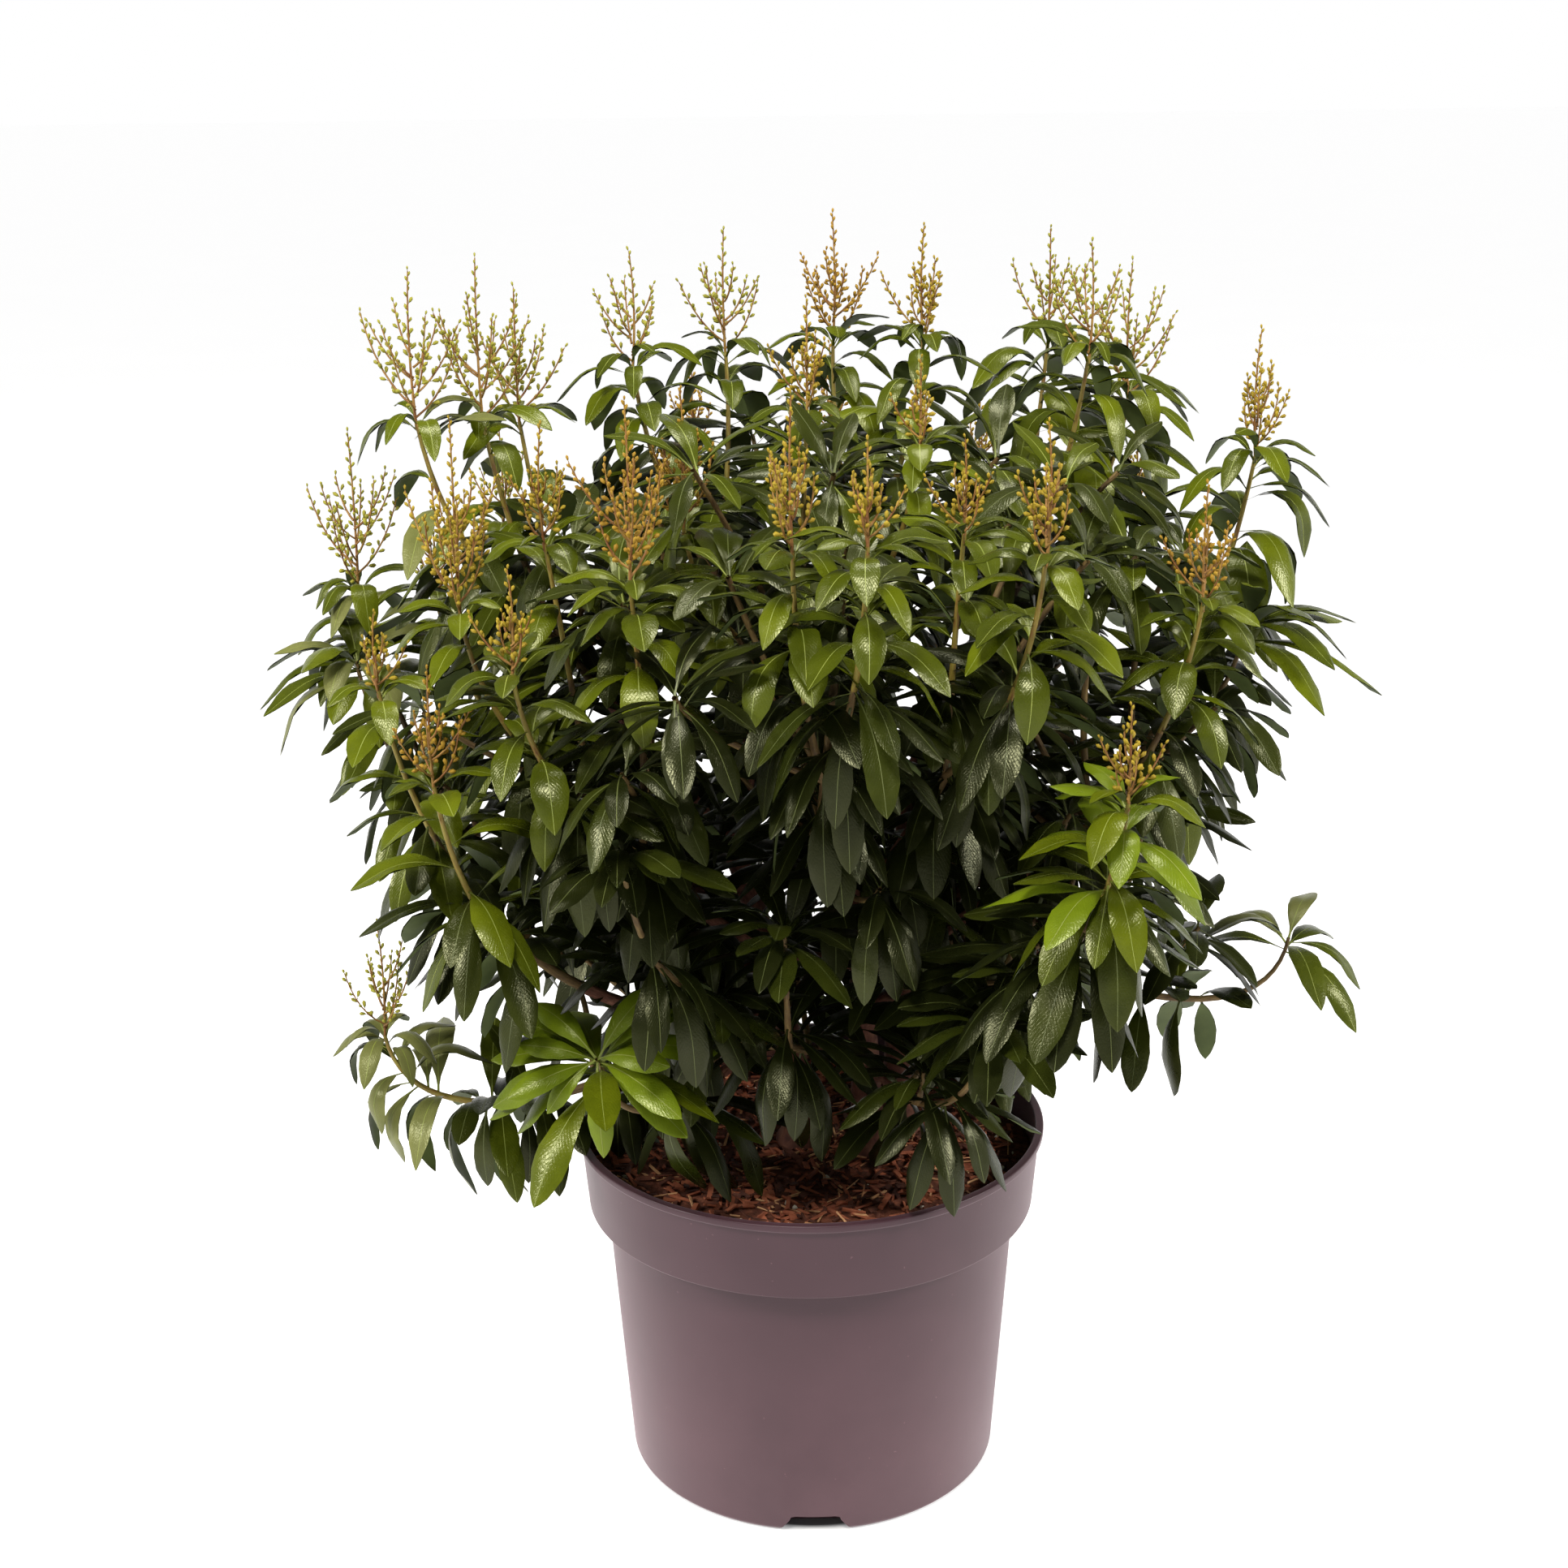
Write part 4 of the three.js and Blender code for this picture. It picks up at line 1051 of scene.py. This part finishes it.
def pot_profile():
    """The pot's section from the middle of its underside, up the outside and down the inside."""
    wall, height, lip_foot = POT.wall, POT.height, POT.height - POT.lip_height
    outside = [
        (6, 0), (POT.base - POT.foot, 0), (POT.base, POT.foot), (POT.body_top, POT.ledge),
        (POT.collar, POT.ledge), (POT.collar_top, lip_foot), (POT.lip, lip_foot + 0.8),
        (POT.lip, height), (POT.collar_top - wall, height),
    ]
    inside = [
        (POT.collar - wall, POT.ledge + wall), (POT.body_top - wall, POT.ledge + wall),
        (POT.base - wall, POT.floor), (6, POT.floor),
    ]
    return rounded(outside + inside, 1.1)


def lathe(profile, segments):
    """Points and places of a profile turned about the Z axis."""
    profile, turn = np.array(profile), circle(segments)
    height = np.broadcast_to(profile[:, 1:], (len(profile), segments))
    points = np.stack([profile[:, :1] * np.cos(turn), profile[:, :1] * np.sin(turn), height], axis=2)
    return points, ring_places(profile, turn, MM)


def notch_cutter():
    """Wedges that open the drain notches in the foot of the wall."""
    heap = Heap()
    below, above, height = NOTCH.below / 2, NOTCH.above / 2, NOTCH.height
    foot = below + (below - above) / height
    half = [(foot, -1), (above + 0.6, height - NOTCH.round), (above - 0.2, height - 0.8),
            (above - NOTCH.round, height)]
    outline = half + [(-x, z) for x, z in reversed(half)]
    for k in range(NOTCH.count):
        turn = 2 * pi * k / NOTCH.count - pi / 2
        out, side = vec(cos(turn), sin(turn), 0), vec(-sin(turn), cos(turn), 0)
        ends = (POT.base - NOTCH.depth, POT.base + NOTCH.depth)
        heap.add_solid(np.array([[out * r + side * x + UP * z for x, z in outline] for r in ends]))
    return heap.mesh("notch_cutter")


def cut_mesh(mesh, cutter_mesh):
    """The mesh less the cutter, by a boolean that is applied at once."""
    whole, cutter = put("whole", mesh), put("cutter", cutter_mesh)
    cut = whole.modifiers.new("cut", "BOOLEAN")
    cut.operation, cut.solver, cut.object = "DIFFERENCE", "EXACT", cutter
    result = bpy.data.meshes.new_from_object(whole.evaluated_get(bpy.context.evaluated_depsgraph_get()))
    bpy.data.objects.remove(whole)
    bpy.data.objects.remove(cutter)
    return result


def make_pot():
    heap = Heap()
    heap.add_solid(*lathe(pot_profile(), POT.segments))
    mesh = cut_mesh(heap.mesh("pot_wall"), notch_cutter())
    mesh.materials.clear()
    show_piece("pot_wall", mesh, pot_finish(), ["pot"])
    mesh.set_sharp_from_angle(angle=radians(40))


def soil_height(x, y, edge):
    """Height of the soil: lumpy, and a little lower along the pot's wall."""
    waves = ((0.11, 0.3), (0.23, 1.7), (0.41, 4.1))
    lumps = sum(np.sin(x * f + p) * np.cos(y * f * 1.1 - p) / f for f, p in waves)
    fine = np.sin(x * 1.3 + 2 * np.sin(y * 0.7)) * np.sin(y * 1.1 + 2 * np.sin(x * 0.9))
    fall = SOIL.crown * smooth((np.hypot(x, y) - edge + SOIL.slope) / SOIL.slope)
    return SOIL.top + 0.06 * lumps + 0.35 * fine - fall


COMPOST = ((0.030, 0.011, 0.007), (0.100, 0.033, 0.019), (0.220, 0.076, 0.042))


def make_soil():
    """The surface of the compost, as far down the pot's wall as shows."""
    edge = POT.collar - POT.wall + SOIL.into_wall
    rows, turn = np.linspace(1, 0.004, SOIL.rings)[:, None] * edge, circle(SOIL.segments)
    x, y = rows * np.cos(turn), rows * np.sin(turn)
    top = np.stack([x, y, soil_height(x, y, edge)], axis=2)
    points = np.concatenate([top[:1] - UP * SOIL.skirt, top])
    heap = Heap()
    heap.add_grid(points, points[..., :2] * MM, closed=True)
    finish = plain_finish("compost", COMPOST, 0.95, 160.0, (0.3, 0.5, 0.72), 420.0, 0.0016, specular=0.2)
    heap.show("soil_top", finish, "soil", ["soil"])


CHIP_FACES = [np.array([[0, 1, 2, 3], [7, 6, 5, 4], [0, 4, 5, 1], [1, 5, 6, 2], [2, 6, 7, 3], [3, 7, 4, 0]])]
# Splinters of bark on the soil: how many, their length, width and thickness, their dark and light
# colour, and their seed.
CHIPS = {
    "soil_chips_dark": (800, (4, 16), (1.5, 5), (0.5, 1.6), (0.045, 0.016, 0.010), (0.125, 0.042, 0.024), 11),
    "soil_chips_red": (700, (5, 20), (1.4, 5), (0.4, 1.4), (0.190, 0.050, 0.024), (0.36, 0.115, 0.056), 12),
    "soil_straw": (280, (6, 22), (0.7, 2.2), (0.3, 0.9), (0.40, 0.18, 0.080), (0.62, 0.36, 0.18), 13),
}
PERLITE = Values(count=70, seed=14, colours=((0.42, 0.38, 0.30), (0.62, 0.58, 0.50)))


def scatter_chips(name, count, length, width, thick, dark, light, seed):
    """Flat splinters of bark lying on the soil at all angles."""
    rng = np.random.default_rng(seed)
    heap = Heap()
    room = POT.collar - POT.wall - 3
    for _ in range(count):
        long, wide, deep = rng.uniform(*length), rng.uniform(*width), rng.uniform(*thick)
        radius, turn = room * np.sqrt(rng.uniform(0, 1)) - long * 0.3, rng.uniform(0, 2 * pi)
        x, y = abs(radius) * cos(turn), abs(radius) * sin(turn)
        z = soil_height(x, y, room) + deep * 0.4 + rng.uniform(0, 1.8)
        heading = rng.uniform(0, 2 * pi)
        along = unit(vec(cos(heading), sin(heading), rng.uniform(-0.3, 0.3)))
        side = unit(cross(UP, along) + UP * rng.uniform(-0.5, 0.5))
        normal = cross(along, side)
        corners = []
        for level in (1, -1):
            for u, v in ((-1, -1), (-1, 1), (1, 1), (1, -1)):
                taper = rng.uniform(0.45, 1)
                corners.append(vec(x, y, z) + along * (u * long / 2 * rng.uniform(0.8, 1))
                               + side * (v * wide / 2 * taper) + normal * (level * deep / 2))
        heap.add(corners, CHIP_FACES)
    finish = plain_finish(name, (dark, light), 0.8, 90.0, (0.35, 0.65), 600.0, 0.0006, specular=0.25)
    heap.show(name, finish, "soil", shade_smooth=False)


def scatter_perlite():
    """White crumbs among the bark."""
    rng = np.random.default_rng(PERLITE.seed)
    heap = Heap()
    room = POT.collar - POT.wall - 5
    for _ in range(PERLITE.count):
        radius, turn = room * np.sqrt(rng.uniform(0.05, 1)), rng.uniform(0, 2 * pi)
        x, y = radius * cos(turn), radius * sin(turn)
        centre = vec(x, y, soil_height(x, y, room) + 0.9)
        uneven = rng.uniform(0.7, 1.5) * rng.uniform(0.8, 1.2, (len(BUD_POINTS), 3))
        lump = BUD_POINTS * vec(1.1, 1.0, 0.62) * uneven
        heap.add(centre + lump @ frame_along(unit(rng.normal(size=3))).T, BUD_FACES)
    heap.show("soil_perlite", plain_finish("perlite", PERLITE.colours, 0.9, 200.0), "soil")


def make_soil_pieces():
    make_soil()
    for name, row in CHIPS.items():
        scatter_chips(name, *row)
    scatter_perlite()


# ---- Putting the plant's pieces into the scene ----

# Colours from dark to light, and for the bark where they lie on its ramp.
BARKS = {
    "limbs": (((0.050, 0.018, 0.012), (0.125, 0.046, 0.028), (0.24, 0.115, 0.066)), (0.35, 0.5, 0.68)),
    "twigs": (((0.050, 0.024, 0.010), (0.110, 0.066, 0.020), (0.19, 0.13, 0.040)), (0.35, 0.5, 0.66)),
    "green_shoots": (((0.14, 0.045, 0.015), (0.195, 0.137, 0.022), (0.24, 0.215, 0.037)), (0.36, 0.47, 0.66)),
}
BARK_ROUGHNESS = {"limbs": 0.8, "twigs": 0.6, "green_shoots": 0.45}
LEAF_BACK = ((0.058, 0.078, 0.022), (0.090, 0.116, 0.034))
RIBS = {
    "new_leaf_ribs": ((0.150, 0.185, 0.030), (0.220, 0.250, 0.045)),
    "old_leaf_ribs": ((0.056, 0.070, 0.016), (0.098, 0.114, 0.028)),
}
BUD_STALK = ((0.165, 0.066, 0.022), (0.28, 0.165, 0.042))
BUDS = {
    "buds_green": ((0.17, 0.16, 0.018), (0.28, 0.265, 0.034)),
    "buds_gold": ((0.200, 0.136, 0.010), (0.315, 0.228, 0.020)),
    "buds_ochre": ((0.200, 0.110, 0.010), (0.305, 0.184, 0.019)),
}


def show_plant(plant):
    """Turns what grew into pieces, each kind apart, and hides the solids they stand for."""
    masses = sorted(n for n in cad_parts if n.startswith("foliage_"))
    limbs = sorted(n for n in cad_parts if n.startswith(("stem_", "bough_")))
    for tone, heaps in plant.blades.items():
        finish = leaf_finish(f"leaf_{tone}", *LEAF_TONES[tone])
        for number, heap in enumerate(heaps):
            heap.show(f"leaves_{tone}_{number + 1}", finish, "foliage", masses)
    heaps = plant.heaps
    heaps["leaf_backs"].show("leaf_backs", plain_finish("leaf_back", LEAF_BACK, 0.6, 60.0, specular=0.3),
                             "foliage")
    for name, colours in RIBS.items():
        heaps[name].show(name, plain_finish(name, colours, 0.5, 80.0), "foliage")
    for name, (colours, at) in BARKS.items():
        finish = bark_finish(f"bark_of_{name}", colours, at, BARK_ROUGHNESS[name])
        heaps[name].show(name, finish, "bark", limbs if name == "limbs" else ())
    stalk = plain_finish("bud_stalk", BUD_STALK, 0.55, 90.0, (0.35, 0.65), specular=0.2)
    heaps["bud_stalks"].show("bud_stalks", stalk, "foliage")
    for name, colours in BUDS.items():
        heaps[name].show(name, plain_finish(name, colours, 0.5, 140.0, specular=0.15), "foliage")


# ---- Floor, light and camera, in metres ----

FLOOR = Values(half=40.0, below=0.0002, colours=((0.41, 0.41, 0.41), (0.45, 0.45, 0.45)))
# The glow stops under the pot, so that the floor there is dark: painted shade under its foot.
GLOW = Values(full=0.9, under_pot=(0.104, 0.113))  # the floor glows, but not under the pot
WORLD = ((0.16, 1.0), (0.30, 0.12))  # height of the direction, and how bright it is there
LAMP_COLOUR = (1.0, 0.97, 0.92)
LAMP_TARGET = (0.0, 0.0, 0.4)
# Soft boxes above the front, overhead and on both sides: place, size and power.
SOFT_BOXES = {
    "soft_box_front": ((-0.35, -1.25, 2.1), 0.45, 44),
    "soft_box_top": ((0.1, 0.25, 2.2), 0.5, 22),
    "soft_box_left": ((-1.85, -0.7, 1.45), 0.5, 42),
    "soft_box_right": ((1.85, -0.5, 1.35), 0.5, 40),
}
# Where the photograph was taken from.
CAMERA = Values(place=(-0.0132, -1.26596, 0.82013), down=0.3027, roll=-0.012, lens=52.738, sensor=36)


def make_floor():
    """A pale sheet that the pot stands on, just under its foot."""
    mesh = bpy.data.meshes.new("floor")
    half, low = FLOOR.half, -FLOOR.below
    mesh.from_pydata([(-half, -half, low), (half, -half, low), (half, half, low), (-half, half, low)], [],
                     [(0, 1, 2, 3)])
    floor = put("floor", mesh)
    finish = Finish("floor_paper", 0.9, 0.1, Emission_Color=(1, 1, 1, 1))
    finish.link(finish.ramp(finish.noise(3.0), FLOOR.colours, (0.3, 0.7)), "Base Color")
    # No glow under the pot: painted shade seen through the notches.
    off_axis = finish.node("ShaderNodeVectorMath", {0: finish.place()}, operation="LENGTH").outputs["Value"]
    finish.link(finish.span(off_axis, GLOW.under_pot, (0, GLOW.full)), "Emission Strength")
    mesh.materials.append(finish.material)


def make_world():
    """A surround that is white low down, as a lit studio wall, and dimmer overhead."""
    world = bpy.data.worlds.new("surround")
    world.use_nodes = True
    tree = world.node_tree
    kinds = ("TexCoord", "SeparateXYZ", "ValToRGB")
    place, split, ramp = (tree.nodes.new(f"ShaderNode{kind}") for kind in kinds)
    tree.links.new(place.outputs["Generated"], split.inputs["Vector"])
    tree.links.new(split.outputs["Z"], ramp.inputs["Fac"])
    tree.links.new(ramp.outputs["Color"], tree.nodes["Background"].inputs["Color"])
    for element, (height, level) in zip(ramp.color_ramp.elements, WORLD):
        element.position, element.color = height, (level, level, level, 1)
    bpy.context.scene.world = world


def make_light():
    for name, (place, size, power) in SOFT_BOXES.items():
        light = bpy.data.lights.new(name, "AREA")
        light.shape, light.size, light.energy, light.color = "SQUARE", size, power, LAMP_COLOUR
        aim = frame_along(unit(np.array(place) - np.array(LAMP_TARGET)))
        put(name, light).matrix_world = Matrix.Translation(place) @ Matrix(aim.tolist()).to_4x4()


def make_camera():
    data = bpy.data.cameras.new("camera")
    data.lens, data.sensor_width, data.sensor_height = CAMERA.lens, CAMERA.sensor, CAMERA.sensor
    data.clip_start, data.clip_end = 0.05, 50
    camera = put("camera", data)
    tilt = Matrix.Rotation(pi / 2 - CAMERA.down, 4, "X")
    camera.matrix_world = Matrix.Translation(CAMERA.place) @ tilt @ Matrix.Rotation(CAMERA.roll, 4, "Z")
    bpy.context.scene.camera = camera
    bpy.context.scene.view_settings.view_transform = "Standard"


make_pot()
make_soil_pieces()
plant = grow_plant()
show_plant(plant)
make_floor()
make_world()
make_light()
make_camera()
bpy.context.view_layer.update()
